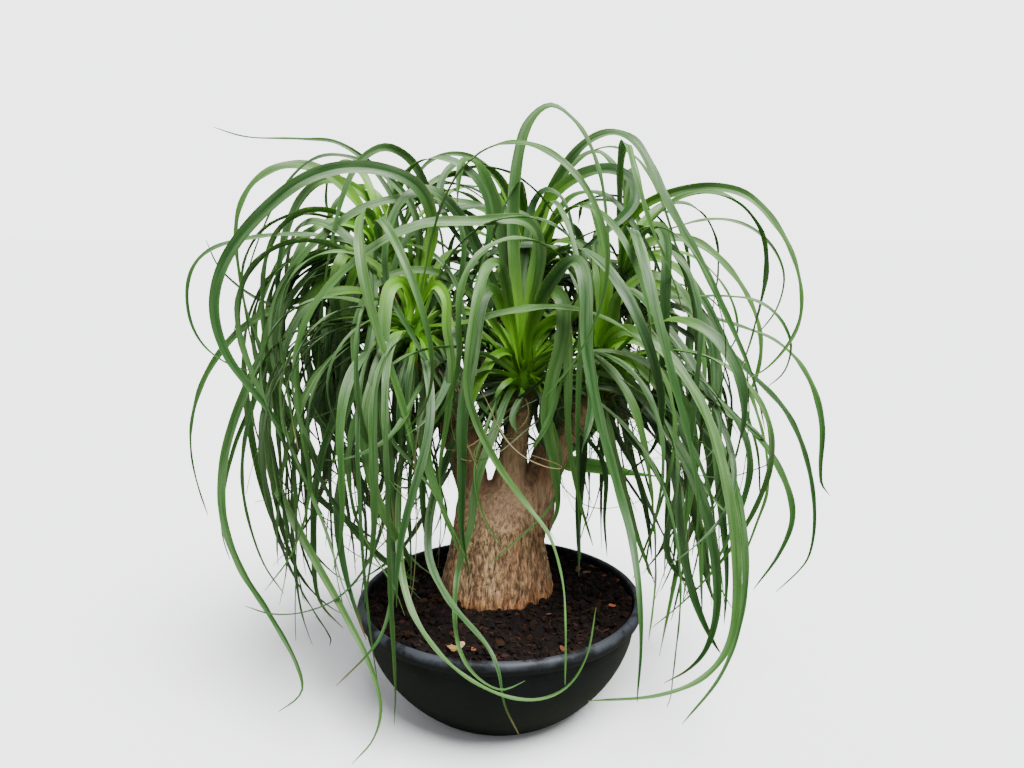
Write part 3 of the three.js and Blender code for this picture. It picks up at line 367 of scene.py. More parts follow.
rings = []
for z in BURIED_HEIGHTS:
    reach = (bowl_radius(z) if z > BURIED_HEIGHTS[0] else FOOT_RADIUS) - POT_WALL - 0.0007
    rings.append([(x, y, z) for x, y in soil_ring(reach, 0)])
for i in range(SOIL_RINGS + 1):
    share = i / SOIL_RINGS
    ring = soil_ring(SOIL_EDGE + (PLUG_RADIUS - SOIL_EDGE) * share, min(1, share * 1.5))
    rings.append([(x, y, soil_height(x, y)) for x, y in ring])
rings.append([(x, y, PLUG_BOTTOM) for x, y in soil_ring(PLUG_RADIUS, 1)])
soil = mesh_object("soil_bed", sum(rings, []), [], ring_faces(len(rings), SOIL_SIDES))
shade_smooth(soil, 60)


def paint_soil():
    """Crumbly earth: fine dark and light grains, with a few reddish flecks of bark."""
    material, tree = new_material("damp potting mix")
    place = object_place(tree)
    crumbs = clouds(tree, place, 260, 6, 0.7)
    color = toned(tree, crumbs, (0.35, (0.0015, 0.0009, 0.0007)), (0.72, (0.0078, 0.0040, 0.0028)))
    cells = add_node(tree, "TexVoronoi", {"Vector": place, "Scale": 210})
    pick = add_node(tree, "SeparateColor", {"Color": cells.outputs["Color"]})
    flecks = between(tree, pick.outputs["Red"], 0.93, 0.97, 0, 1)
    color = mixed(tree, flecks, color, (0.034, 0.013, 0.007))
    surface(tree, color, between(tree, crumbs, 0, 1, 0.6, 0.98), 0.12, crumbs, 0.9, 0.0012)
    return material


soil.data.materials.append(paint_soil())
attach(soil, "root")
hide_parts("soil")


# Crumbs, chips and fibres
# What makes the mix coarse: broken lumps of coco pith, flat chips of bark, and short husk
# fibres, lying loose on the soil. Each kind is shaped once and copied by a seeded rule.

LUMP_COUNT = 1300
CHIP_COUNT = 190
FIBRE_COUNT = 170
NOTED_CHIPS = [
    # pixel across and down, size, colour: pale wood, red bark, orange bark, red crumbs
    (453, 650, 0.0125, (0.40, 0.24, 0.09)), (461, 646, 0.0090, (0.46, 0.32, 0.16)),
    (476, 650, 0.0110, (0.22, 0.075, 0.035)), (612, 608, 0.0085, (0.34, 0.11, 0.045)),
    (604, 574, 0.0090, (0.13, 0.035, 0.020)), (617, 580, 0.0080, (0.11, 0.030, 0.018)),
    (563, 650, 0.0085, (0.12, 0.040, 0.020)), (572, 655, 0.0070, (0.10, 0.035, 0.020)),
    (578, 569, 0.0100, (0.15, 0.065, 0.035)), (586, 573, 0.0085, (0.17, 0.080, 0.045)),
    (592, 566, 0.0070, (0.13, 0.055, 0.030)), (549, 615, 0.0065, (0.12, 0.060, 0.035)),
    (407, 597, 0.0075, (0.10, 0.040, 0.025)), (497, 641, 0.0060, (0.10, 0.045, 0.028)),
]


def on_height(across, down, z):
    """The point at height z that the camera sees at a pixel."""
    right = (across - IMAGE_WIDTH / 2) / FOCAL_PIXELS
    up = (IMAGE_HEIGHT / 2 - down) / FOCAL_PIXELS
    ray = Vector((right, math.cos(LOOK_DOWN) + up * math.sin(LOOK_DOWN),
                  -math.sin(LOOK_DOWN) + up * math.cos(LOOK_DOWN)))
    return Vector(EYE) + ray * ((z - EYE[2]) / ray.z)


def broken_shape(size, jitter, seed):
    """One broken lump: a small ball with its corners pushed in and out."""
    pick_out()
    bpy.ops.mesh.primitive_ico_sphere_add(subdivisions=2, radius=0.5)
    piece = bpy.context.object
    edit_all()
    bpy.ops.transform.vertex_random(offset=jitter, uniform=0.2, normal=0.4, seed=seed)
    bpy.ops.transform.resize(value=size)
    bpy.ops.object.mode_set(mode="OBJECT")
    points = np.array([v.co for v in piece.data.vertices])
    faces = [list(p.vertices) for p in piece.data.polygons]
    bpy.data.objects.remove(piece)
    return points, faces


def random_turn(draw, tilt):
    """A rotation that spins freely and tips by up to the given angle."""
    spin, lean, way = draw.uniform(0, 6.28), draw.uniform(-tilt, tilt), draw.uniform(0, 6.28)
    tipped = Matrix.Rotation(lean, 3, Vector((math.cos(way), math.sin(way), 0)))
    return np.array(tipped @ Matrix.Rotation(spin, 3, "Z"))


def soil_spot(draw):
    """A free place on the soil, clear of the pot's wall and the trunk's foot."""
    while True:
        radius, angle = 0.127 * math.sqrt(draw.random()), draw.uniform(0, 2 * math.pi)
        x, y = radius * math.cos(angle), radius * math.sin(angle)
        if math.hypot((x - TRUNK_X) / 0.0585, (y - TRUNK_Y) / 0.056) > 0.97:
            return x, y


def strewn(draw, count, sizes, color_of, lift, tilt):
    """A place, size, rotation and colour for each loose bit. Sizes: the smallest, how much
    more at most, how rare the large ones are. Lift: a share of the size, and a height."""
    spots = []
    for _ in range(count):
        x, y = soil_spot(draw)
        size = sizes[0] + sizes[1] * draw.random() ** sizes[2]
        color = color_of(draw)
        z = soil_height(x, y) + size * lift[0] + lift[1]
        spots.append(((x, y, z), size, random_turn(draw, tilt), color))
    return spots


def store(mesh, name, vectors):
    """Keeps three numbers at each point of a mesh, for its material."""
    attribute = mesh.attributes.new(name, "FLOAT_VECTOR", "POINT")
    attribute.data.foreach_set("vector", np.array(vectors, np.float32).ravel())


def scatter(name, masters, spots, material):
    """Copies of the master shapes in one piece, one at each spot."""
    points, faces, tones, start = [], [], [], 0
    for index, (place, size, turn, tone) in enumerate(spots):
        shape, shape_faces = masters[index % len(masters)]
        points.append(shape * size @ turn.T + np.array(place))
        faces += [[i + start for i in face] for face in shape_faces]
        tones += [tone] * len(shape)
        start += len(shape)
    piece = mesh_object(name, np.concatenate(points).tolist(), [], faces)
    store(piece.data, "tone", tones)
    piece.data.materials.append(material)
    shade_smooth(piece, 30)
    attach(piece, "root")


def stored(tree, name):
    return add_node(tree, "Attribute", {}, attribute_name=name).outputs["Vector"]


def paint_loose_bits():
    """Each bit has a tone of its own, lighter and darker with its grain."""
    material, tree = new_material("loose bits")
    grain = clouds(tree, object_place(tree), 700, 5, 0.7)
    shade = {0: stored(tree, "tone"), "Scale": between(tree, grain, 0.3, 0.7, 0.45, 1.35)}
    shaded = add_node(tree, "VectorMath", shade, operation="SCALE")
    surface(tree, shaded.outputs["Vector"], 0.88, 0.15, grain, 0.8, 0.0006)
    return material


def lump_color(draw):
    tone = 0.4 + 1.1 * draw.random()
    warm = draw.random() ** 4
    return 0.0056 * tone + 0.014 * warm, 0.0029 * tone + 0.0049 * warm, 0.0021 * tone


def chip_color(draw):
    red = draw.random() ** 5
    return 0.008 + 0.045 * red, 0.0043 + 0.016 * red, 0.0032 + 0.008 * red


def fibre_color(draw):
    red = draw.random()
    return 0.035 + 0.085 * red, 0.018 + 0.037 * red, 0.010 + 0.018 * red


def grid(*layers):
    """Layers that change along a fibre or leaf, round it or both, as one array."""
    return np.stack(np.broadcast_arrays(*layers), axis=-1)


def fibre_shape(bend, seed):
    """A husk fibre one unit long: a thin five-sided thread with a lazy bend."""
    rings, sides = 8, 5
    share = np.linspace(0, 1, rings)[:, None]
    turn = np.arange(sides) * 2 * math.pi / sides
    arch = np.sin(share * math.pi)
    thin = 0.016 * (1 - 0.6 * np.abs(2 * share - 1))
    y = bend * arch + 0.05 * np.sin(share * 9 + seed) + thin * np.cos(turn)
    z = random.Random(seed).uniform(0.02, 0.12) * arch + thin * np.sin(turn)
    return grid(share - 0.5, y, z).reshape(-1, 3), [face[::-1] for face in ring_faces(rings, sides)]


loose_bits = paint_loose_bits()
draw = random.Random(11)
lumps = [broken_shape((1, 0.85, 0.7), 0.22, seed) for seed in (3, 8, 21)]
spots = strewn(draw, LUMP_COUNT, (0.0018, 0.0080, 2.4), lump_color, (0.2, 0), 1.2)
scatter("soil_lumps", lumps, spots, loose_bits)

chips = [broken_shape((1, 0.55, 0.2), 0.16, seed) for seed in (5, 14)]
spots = strewn(draw, CHIP_COUNT, (0.003, 0.0065, 1.6), chip_color, (0.12, 0), 0.6)
for across, down, size, color in NOTED_CHIPS:
    spot = on_height(across, down, SOIL_LEVEL + 0.003)
    lift = soil_height(spot.x, spot.y) + size * 0.22
    spots.append(((spot.x, spot.y, lift), size, random_turn(draw, 0.45), color))
scatter("bark_chips", chips, spots, loose_bits)

fibres = [fibre_shape(bend, seed) for bend, seed in ((0.10, 1), (-0.16, 2), (0.22, 3))]
spots = strewn(draw, FIBRE_COUNT, (0.006, 0.012, 1), fibre_color, (0, 0.0012), 0.25)
scatter("husk_fibres", fibres, spots, loose_bits)


# Trunk
# One grown piece. The swollen foot has thick corky bark, split into upright flakes and
# stained orange where it meets the soil. It forks into six limbs with smoother skin.

FOOT_RINGS = [
    # height, middle x, middle y, half width, half depth
    (0.0700, -0.0035, 0.026, 0.0440, 0.0430),
    (0.0930, -0.0035, 0.026, 0.0520, 0.0500),
    (0.0993, -0.0035, 0.026, 0.0575, 0.0550),
    (0.1080, -0.0035, 0.026, 0.0565, 0.0540),
    (0.1290, -0.0030, 0.026, 0.0515, 0.0500),
    (0.1500, -0.0030, 0.026, 0.0470, 0.0460),
    (0.1720, 0.0010, 0.027, 0.0475, 0.0420),
    (0.1880, 0.0040, 0.028, 0.0465, 0.0360),
    (0.2020, 0.0060, 0.029, 0.0360, 0.0280),
    (0.2100, 0.0070, 0.029, 0.0220, 0.0200),
]
# Each limb's places and radii, in millimetres.
LIMBS = {
    "front": ([(8, 28, 176), (9, 28, 200), (10, 28, 217), (13, 28, 238), (18, 22, 266), (21, 4, 298)],
              [31, 22, 17, 13.5, 11, 9.5]),
    "left": ([(-27, 26, 172), (-26, 30, 222), (-32, 22, 270), (-66, -16, 342)], [20, 12.5, 11, 10]),
    "right": ([(32, 22, 172), (40, 18, 196), (47, 14, 218), (62, 4, 262), (84, -4, 298)],
              [22, 15, 12, 11, 10]),
    "left_back": ([(-24, 34, 190), (-52, 42, 268), (-84, 38, 344), (-104, 35, 404)],
                  [15, 12, 10.5, 10]),
    "back": ([(6, 36, 190), (16, 56, 262), (24, 74, 330), (27, 80, 384)], [16, 12, 10.5, 10]),
    "right_back": ([(28, 34, 190), (56, 60, 258), (88, 62, 320), (107, 50, 374)],
                   [15, 12, 10.5, 10]),
}
# Where the skin of the limbs is red: a place in millimetres and how far it reaches.
RED_SKIN = [((-26, 30, 222), 35), ((-32, 22, 270), 35), ((48, 8, 230), 24)]
FORK_START = 0.168
FORK_SPAN = 0.045
TRUNK_VOXEL = 0.0014
MM = 0.001


def read_off(at, known, rows):
    """Rows that are known at some places along a way, read off at others."""
    return np.stack([np.interp(at, known, column) for column in np.transpose(rows)], axis=-1)


def smooth_way(points, step):
    """A smooth curve through the points, cut into even steps: its points, how many of the
    given points each has passed, and its length."""
    points = np.array(points, float)
    gaps = np.sqrt(np.linalg.norm(np.diff(points, axis=0), axis=1))
    knots = np.concatenate([[0], np.cumsum(gaps)])
    slopes = np.gradient(points, knots, axis=0)
    fine = np.linspace(0, knots[-1], 14 * (len(points) - 1) + 1)
    span = np.clip(np.searchsorted(knots, fine, side="right") - 1, 0, len(points) - 2)
    wide = (knots[span + 1] - knots[span])[:, None]
    t = (fine - knots[span])[:, None] / wide
    dense = ((2 * t**3 - 3 * t**2 + 1) * points[span] + (t**3 - 2 * t**2 + t) * wide * slopes[span]
             + (3 * t**2 - 2 * t**3) * points[span + 1] + (t**3 - t**2) * wide * slopes[span + 1])
    travel = np.concatenate([[0], np.cumsum(np.linalg.norm(np.diff(dense, axis=0), axis=1))])
    even = np.linspace(0, travel[-1], max(3, int(round(travel[-1] / step))) + 1)
    place = np.interp(even, travel, np.interp(fine, knots, np.arange(len(points))))
    return read_off(even, travel, dense), place, travel[-1]


def limb(name):
    """A round limb along its smooth way, closed at both ends."""
    points, radii = LIMBS[name]
    way, place, _ = smooth_way(np.array(points) * MM, 0.004)
    thick = np.interp(place, np.linspace(0, len(points) - 1, len(radii)), radii) * MM
    curve = bpy.data.curves.new(f"{name}_limb", "CURVE")
    curve.dimensions = "3D"
    curve.bevel_depth = 1.0
    curve.bevel_resolution = 4
    curve.use_fill_caps = True
    line = curve.splines.new("POLY")
    line.points.add(len(way) - 1)
    for point, spot, radius in zip(line.points, way, thick):
        point.co = (*spot, 1)
        point.radius = radius
    pick_out(new_object(f"{name}_limb", curve))
    bpy.ops.object.convert(target="MESH")
    return bpy.context.object


pick_out()
height, x, y, half_width, half_depth = FOOT_RINGS[0]
bpy.ops.mesh.primitive_circle_add(vertices=72, radius=1, fill_type="NGON", location=(0, 0, 0))
foot = bpy.context.object
edit_all()
bpy.ops.transform.resize(value=(half_width, half_depth, 1))
bpy.ops.transform.translate(value=(x, y, height))
for low, high in zip(FOOT_RINGS, FOOT_RINGS[1:]):
    bpy.ops.mesh.extrude_region_move(TRANSFORM_OT_translate={
        "value": (high[1] - low[1], high[2] - low[2], high[0] - low[0])})
    bpy.ops.transform.resize(value=(high[3] / low[3], high[4] / low[4], 1),
                             center_override=(high[1], high[2], high[0]))
bpy.ops.mesh.select_all(action="SELECT")
bpy.ops.mesh.normals_make_consistent(inside=False)
bpy.ops.object.mode_set(mode="OBJECT")
pick_out(foot, *[limb(name) for name in LIMBS])
bpy.ops.object.join()
trunk = bpy.context.object
trunk.name = "trunk_bark"
apply_modifier(trunk, "REMESH", mode="VOXEL", voxel_size=TRUNK_VOXEL)
apply_modifier(trunk, "SMOOTH", factor=0.5, iterations=10)


def noise_at(spot, sideways, upright, shift=0):
    return noise.noise(Vector((spot.x * sideways, spot.y * sideways, spot.z * upright + shift)))


# Without a seed of its own the bark would differ from run to run.
noise.seed_set(5)


def bark_at(spot):
    """The bark's depth in metres, its relief from 0 to 1, and how smooth the skin is."""
    forked = min(1.0, max(0.0, (spot.z - FORK_START) / FORK_SPAN))
    moved = spot + noise.noise_vector(spot * 30) * 0.0016
    broad = noise_at(moved, 60, 22)
    plates = min(1.0, 2.6 * abs(noise_at(moved, 170, 27.2, 5)))
    flakes = min(1.0, 2.6 * abs(noise_at(moved, 330, 72.6, 11)))
    slivers = noise_at(moved, 560, 90)
    relief = 0.34 * plates + 0.36 * flakes + 0.30 * (0.5 + slivers)
    rough = 0.0018 * (relief - 0.55) + 0.0012 * broad + 0.0005 * slivers
    skin = 0.0005 * (flakes - 0.5) + 0.0009 * broad + 0.00035 * noise_at(spot, 40, 420)
    return rough * (1 - forked) + skin * forked, relief, forked


trunk.data.update()
normals = [v.normal.copy() for v in trunk.data.vertices]
bark_data = []
for vertex, normal in zip(trunk.data.vertices, normals):
    depth, relief, forked = bark_at(vertex.co)
    redness = max(1 - (vertex.co - Vector(spot) * MM).length / (reach * MM) for spot, reach in RED_SKIN)
    vertex.co += normal * depth
    bark_data.append((relief, forked, max(0.0, redness) * forked))
store(trunk.data, "bark", bark_data)
shade_smooth(trunk, 80)


def paint_bark():
    material, tree = new_material("furrowed bark")
    place = object_place(tree)
    relief, forked, redness = parts_of(tree, stored(tree, "bark"))
    # The grain wanders sideways as it climbs.
    drift = clouds(tree, place, 34, 3, output="Color")
    moved = add_node(tree, "VectorMath", {0: drift, 1: (0.007, 0.007, 0.007), 2: place},
                     operation="MULTIPLY_ADD").outputs["Vector"]
    upright = stretched(tree, moved, (1, 1, 0.09))
    tall = stretched(tree, moved, (1, 1, 0.12))
    # Relief and fine grain together choose between a dark furrow and a pale flake.
    height = calculated(tree, "MULTIPLY_ADD", clouds(tree, upright, 640, 7, 0.75), 1.2,
                        calculated(tree, "MULTIPLY", relief, 0.42))
    color = toned(tree, height, (0.55, (0.040, 0.021, 0.0095)), (0.74, (0.190, 0.112, 0.052)),
                  (1.0, (0.56, 0.37, 0.185)))
    # Short dark cracks run up between the flakes.
    seams = calculated(tree, "SUBTRACT", clouds(tree, tall, 310, 3, 0.55), 0.5)
    cracks = between(tree, calculated(tree, "ABSOLUTE", seams), 0, 0.034, 1, 0)
    color = mixed(tree, cracks, color, (0.11, 0.070, 0.045), "MULTIPLY")
    # Broad patches of redder, darker bark.
    patches = between(tree, clouds(tree, upright, 42, 3), 0.42, 0.66, 0, 0.75)
    color = mixed(tree, patches, color, (0.66, 0.48, 0.38), "MULTIPLY")
    # Smooth skin on the limbs, red in places.
    skin = toned(tree, height, (0.58, (0.215, 0.126, 0.072)), (1.0, (0.56, 0.360, 0.205)))
    color = mixed(tree, forked, color, skin)
    color = mixed(tree, redness, color, (0.50, 0.34, 0.27), "MULTIPLY")
    # Orange stain just above the soil, with a ragged upper edge.
    ragged = calculated(tree, "MULTIPLY_ADD", clouds(tree, tall, 230, 4), -0.035,
                        parts_of(tree, place)["Z"])
    stain = between(tree, ragged, 0.100, 0.086, 0, 0.8)
    color = mixed(tree, stain, color, (1.0, 0.72, 0.46), "MULTIPLY")
    surface(tree, color, between(tree, height, 0, 1, 0.95, 0.7), 0.5, height, 0.75, 0.0011)
    return material


trunk.data.materials.clear()
trunk.data.materials.append(paint_bark())
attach(trunk, "root")
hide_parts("trunk")


# Heads of leaves
# Six grown heads. Each is a short core wrapped in old leaf bases, with long strap leaves:
# channelled, yellow-green where they clasp the core, deep green beyond, thread-thin at the
# tip. The ways of the large leaves are read from the frame, and thin ones fill in between.

LEAF_THICK = 0.00042
LEAF_THREAD = 0.0018
LEAF_STEP = 0.0058
# Where the points across a large and a thin leaf lie: close together beside the midrib.
ACROSS = np.array([-1, -0.5, -0.09, 0, 0.09, 0.5, 1])
THIN_ACROSS = np.array([-1, -0.3, 0, 0.3, 1])
CORE_LENGTH = 0.044
CORE_BEND_AT = 0.45
CORE_SIDES = 12
OLD_BASES = 16
# How many thin leaves each head has, how many of its leaves arch over to the plant's outside
# and how many hang in the shade below it, how long those get and how low they reach.
THIN_LEAVES = {"front": (30, 2, 18, 0.20, 0.215), "left": (18, 24, 12, 0.26, 0.120),
               "right": (9, 0, 6, 0.21, 0.200), "left_back": (20, 24, 10, 0.26, 0.120),
               "back": (28, 5, 16, 0.27, 0.140), "right_back": (10, 2, 5, 0.25, 0.140)}
LEAVES_LOWEST = 0.006
SHORT_PER_HEAD = 18
DRY_THREADS = 30
THREADS_LOWEST = 0.115
UP = np.array([0.0, 0.0, 1.0])
# What stands open to the front: three hearts, a bright leaf and two stretches beside the
# outer arches. Pixel left, top, right and bottom, and how far back.
OPEN_VIEWS = [(496, 268, 560, 376, 0.004), (392, 255, 440, 338, -0.016), (590, 290, 630, 352, 0.0),
              (562, 455, 668, 484, 0.11), (640, 90, 860, 188, 1.0), (700, 200, 785, 300, 1.0)]
GOLDEN_ANGLE = 2.39996
# The plant's own dome: an oval that narrows a little towards the floor.
DOME_X, DOME_Y, DOME_ACROSS, DOME_DEEP, DOME_TOP = 0.012, 0.030, 0.262, 0.205, 0.530
# The tip of the one bright leaf that crosses behind the others on the right, and its tone, which paints
# it a vivid light green: painted backlight, as if lit through from behind.
BRIGHT_TIP = np.array([0.179, 0.108, 0.192])
BRIGHT_TONE = 1.3
# Where along a leaf its tip starts and ends to brown: most tips stay green.
TIP_BROWNING = [(1.0, 1.2)] * 6 + [(0.95, 1.08), (0.88, 1.05)]


def unit(rows):
    return rows / np.maximum(np.linalg.norm(rows, axis=-1, keepdims=True), 1e-9)


def softened(rows, rounds):
    """Neighbouring rows averaged, ends kept."""
    for _ in range(rounds):
        rows = rows.copy()
        rows[1:-1] = (rows[:-2] + 2 * rows[1:-1] + rows[2:]) / 4
    return rows


def smoothstep(value, low, high):
    share = np.clip((value - low) / (high - low), 0, 1)
    return share * share * (3 - 2 * share)


def heading(way):
    return unit(np.gradient(way, axis=0))


def square_to(ahead, rows):
    """The rows without what runs along the way."""
    return rows - ahead * np.sum(rows * ahead, axis=1, keepdims=True)


def rolled(sides, ahead, angles):
    """The side directions turned about the way."""
    ups = unit(np.cross(sides, ahead))
    return unit(sides * np.cos(angles)[:, None] + ups * np.sin(angles)[:, None])


def around(turn):
    return np.array([math.cos(turn), math.sin(turn), 0])


def blades_of(node_name):
    """The blades of a head in the frame: each one's rings of three corners, root first."""
    mesh = bmesh.new()
    mesh.from_mesh(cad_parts[node_name].data)
    bmesh.ops.remove_doubles(mesh, verts=mesh.verts, dist=1e-5)
    near = {v: {e.other_vert(v) for e in v.link_edges} for v in mesh.verts}

    def is_ring(corners):
        return len(corners) == 3 and all(b in near[a] for a in corners for b in corners if a != b)

    blades = []
    for tip in mesh.verts:
        rings, used = [near[tip]], {tip} | near[tip]
        while is_ring(rings[-1]):
            rings.append({n for v in rings[-1] for n in near[v]} - used)
            used |= rings[-1]
        if len(near[tip]) == 3 and len(rings) > 4:
            corners = [[np.array(v.co) for v in ring] for ring in rings[:-1]]
            blades.append((np.array(tip.co), corners[::-1]))
    mesh.free()
    return sorted(blades, key=lambda blade: tuple(np.round(blade[0], 5)))


def ring_frame(corners, last_side=None):
    """A ring's middle, its side and upper directions and its width. The keel is the corner
    that faces the longest edge, or the edge most in line with the ring before."""
    edges = [corners[(k + 2) % 3] - corners[(k + 1) % 3] for k in range(3)]
    best = int(np.argmax([np.linalg.norm(edge) if last_side is None else abs(np.dot(edge, last_side))
                          for edge in edges]))
    across = edges[best]
    if last_side is not None and np.dot(across, last_side) < 0:
        across = -across
    middle = (corners[(best + 1) % 3] + corners[(best + 2) % 3]) / 2
    return middle, unit(across), unit(middle - corners[best]), np.linalg.norm(across)


def head_piece(name, skins):
    """One piece from the skins of all the leaves of a head. A point of a skin has its place,
    where it lies on the flat leaf, and six numbers for the material."""
    faces, count = [], 0
    for skin in skins:
        faces += ring_faces(*skin.shape[:2], count)
        count += skin.shape[0] * skin.shape[1]
    rows = np.concatenate([skin.reshape(-1, skin.shape[2]) for skin in skins])
    points, uvs, tones, places = np.split(rows, [3, 5, 8], axis=1)
    piece = mesh_object(name, points.tolist(), [], faces)
    corner = np.zeros(len(piece.data.loops), np.int32)
    piece.data.loops.foreach_get("vertex_index", corner)
    layer = piece.data.uv_layers.new(name="blade")
    layer.data.foreach_set("uv", uvs[corner].astype(np.float32).ravel())
    store(piece.data, "leaf_tone", tones)
    store(piece.data, "leaf_place", places)
    return piece


def add_leaf(skins, way, sides, wide, lime_to, tone, draw, dry=0.0, across=ACROSS):
    """One strap leaf along a way of even steps. Its halves fold up from the midrib, deeply
    where it clasps the core, slightly along its middle and again towards the tip."""
    share = np.linspace(0, 1, len(way))
    metres = share * np.linalg.norm(np.diff(way, axis=0), axis=1).sum()
    ahead = heading(way)
    sides = softened(unit(square_to(ahead, sides)), 6)
    # A leaf turns about its own midrib, slowly this way and that.
    roll = draw.uniform(0.10, 0.70) * np.sin(share * draw.uniform(4, 9) + draw.uniform(0, 6.3))
    sides = rolled(sides, ahead, roll * smoothstep(share, 0.05, 0.25))
    ups = unit(np.cross(sides, ahead))
    # It widens where it clasps the core.
    wide = np.maximum(wide * (1.45 - 0.45 * smoothstep(metres, 0.0, 0.030)), LEAF_THREAD / 3)
    fold = (0.12 + 0.24 * draw.random() + 0.85 * (1 - smoothstep(metres, 0.004, 0.06))
            + 0.30 * smoothstep(share, 0.7, 1.0))
    wave = 0.00045 * np.sin(metres * 170 + draw.uniform(0, 6.3)) * np.minimum(1, wide / 0.006)
    x = across * np.cos(fold)[:, None]
    rise = (np.sqrt(across**2 + 0.006) - 0.077) * np.sin(fold)[:, None]
    half = wide[:, None] / 2
    lift = half * rise + wave[:, None] * across**3
    top = (way[:, None] + sides[:, None] * (half * x)[..., None]
           + ups[:, None] * lift[..., None])
    rib = np.exp(-(across[1:-1] / 0.3) ** 2)
    thick = LEAF_THICK * (1 + 0.9 * rib * (1 - share)[:, None])
    thick = np.minimum(thick, wide[:, None] * 0.35)
    under = top[:, 1:-1] - ups[:, None] * thick[..., None]
    round_leaf = np.concatenate([across, across[1:-1][::-1]])
    underside = np.array([0.0] * len(across) + [1.0] * (len(across) - 2))
    lime = 1 - smoothstep(metres, lime_to * 0.25, lime_to)
    browned = dry + (1 - dry) * smoothstep(share, *draw.choice(TIP_BROWNING))
    skins.append(np.concatenate([
        np.concatenate([top, under[:, ::-1]], axis=1),
        grid(round_leaf * 0.5 + 0.5, (metres + 3 * tone)[:, None], lime[:, None], tone,
             browned[:, None], share[:, None], underside, np.abs(round_leaf))], axis=-1))


def head_axis(name):
    """The line up the middle of a head's core, from its limb's end: foot, middle and top."""
    way, _, _ = smooth_way(np.array(LIMBS[name][0]) * MM, 0.002)
    lean = unit(way[-1] - way[-2])
    foot = way[-1] + lean * 0.0003
    middle = foot + lean * CORE_LENGTH * CORE_BEND_AT
    top = middle + unit(lean + 2 * UP) * CORE_LENGTH * (1 - CORE_BEND_AT)
    return foot, middle, top


def root_way(axis, first, ahead):
    """The start of a leaf: out of the core's side and round into the leaf's own way."""
    out = first - axis[1]
    rise = out[2] / max(np.linalg.norm(out), 1e-6)
    share = min(0.9, max(0.25, 0.5 + 0.4 * rise))
    base = read_off(share, (0, CORE_BEND_AT, 1), axis)
    flat = out - UP * out[2]
    outward = unit(flat) if np.linalg.norm(flat) > 1e-4 else np.array([0.0, -1.0, 0.0])
    start = base + outward * (0.0085 - 0.004 * share)
    gap = np.linalg.norm(first - start)
    grow = unit(0.75 * UP + 0.5 * outward + 0.6 * ahead)
    between_ends = (start + grow * gap * 0.36 + first - ahead * gap * 0.30) / 2
    return [start, start + grow * gap * 0.2, between_ends] if gap > 0.022 else [start]


def turned_to_light(way, sides):
    """The side directions, turned so that the upper face looks more up, out and to the front."""
    ahead = heading(way)
    outward = way - np.array([DOME_X, DOME_Y, 0])
    outward[:, 2] = 0
    light = 0.9 * UP + 0.45 * unit(outward) + 0.55 * unit(np.array(EYE) - way)
    light = square_to(ahead, light)
    ups = unit(np.cross(sides, ahead))
    if np.sum(ups * light) < 0:
        ups = -ups
    return np.cross(ahead, unit(ups + 1.5 * light))


def add_read_leaf(skins, axis, blade, draw):
    """A large leaf, along the way of the frame's blade and of its widths."""
    tip, rings = blade
    frames = [ring_frame(rings[0])]
    first, side, up, width = frames[0]
    ahead = unit(sum(rings[1]) / 3 - first)
    if np.dot(np.cross(side, ahead), up) < 0:
        frames[0] = (first, -side, up, width)
    for ring in rings[1:]:
        frames.append(ring_frame(ring, frames[-1][1]))
    start = root_way(axis, first, ahead)
    way, place, _ = smooth_way(start + [f[0] for f in frames] + [tip], LEAF_STEP)
    sides = [frames[0][1]] * len(start) + [f[1] for f in frames] + [frames[-1][1]]
    widths = np.array([f[3] for f in frames])
    fullest = int(np.argmax(widths))
    widths[:fullest] = widths[fullest] * np.linspace(0.7, 1, fullest + 1)[:-1]
    widths = [widths[0] * 0.95] * len(start) + list(widths) + [LEAF_THREAD]
    along = np.arange(len(sides))
    sides = read_off(place, along, sides)
    wide = np.maximum(softened(np.interp(place, along, widths), 3), LEAF_THREAD)
    wide[-3:] = wide[-3:] * np.array([0.85, 0.6, 0.3])
    rise = (first - axis[1])[2] / max(np.linalg.norm(first - axis[1]), 1e-6)
    youth = float(np.clip((rise - 0.1) / 0.8, 0, 1))
    tone = 0.75 * draw.random() + 0.25 * youth
    lime_to = 0.020 + 0.075 * youth + 0.05 * youth * draw.random()
    if np.linalg.norm(tip - BRIGHT_TIP) < 0.012:
        tone, lime_to = BRIGHT_TONE, 2.5
        narrowed = 1 - 0.88 * smoothstep(np.linspace(0, 1, len(wide)), 0.78, 1.0)
        wide = np.maximum(wide * 1.7, 0.0115) * narrowed
    else:
        sides = turned_to_light(way, sides)
    add_leaf(skins, way, sides, wide, lime_to, tone, draw)


def seen_at(point):
    """The pixel at which the camera sees a point."""
    side, deep, high = point - np.array(EYE)
    away = deep * math.cos(LOOK_DOWN) - high * math.sin(LOOK_DOWN)
    above = deep * math.sin(LOOK_DOWN) + high * math.cos(LOOK_DOWN)
    return IMAGE_WIDTH / 2 + FOCAL_PIXELS * side / away, IMAGE_HEIGHT / 2 - FOCAL_PIXELS * above / away


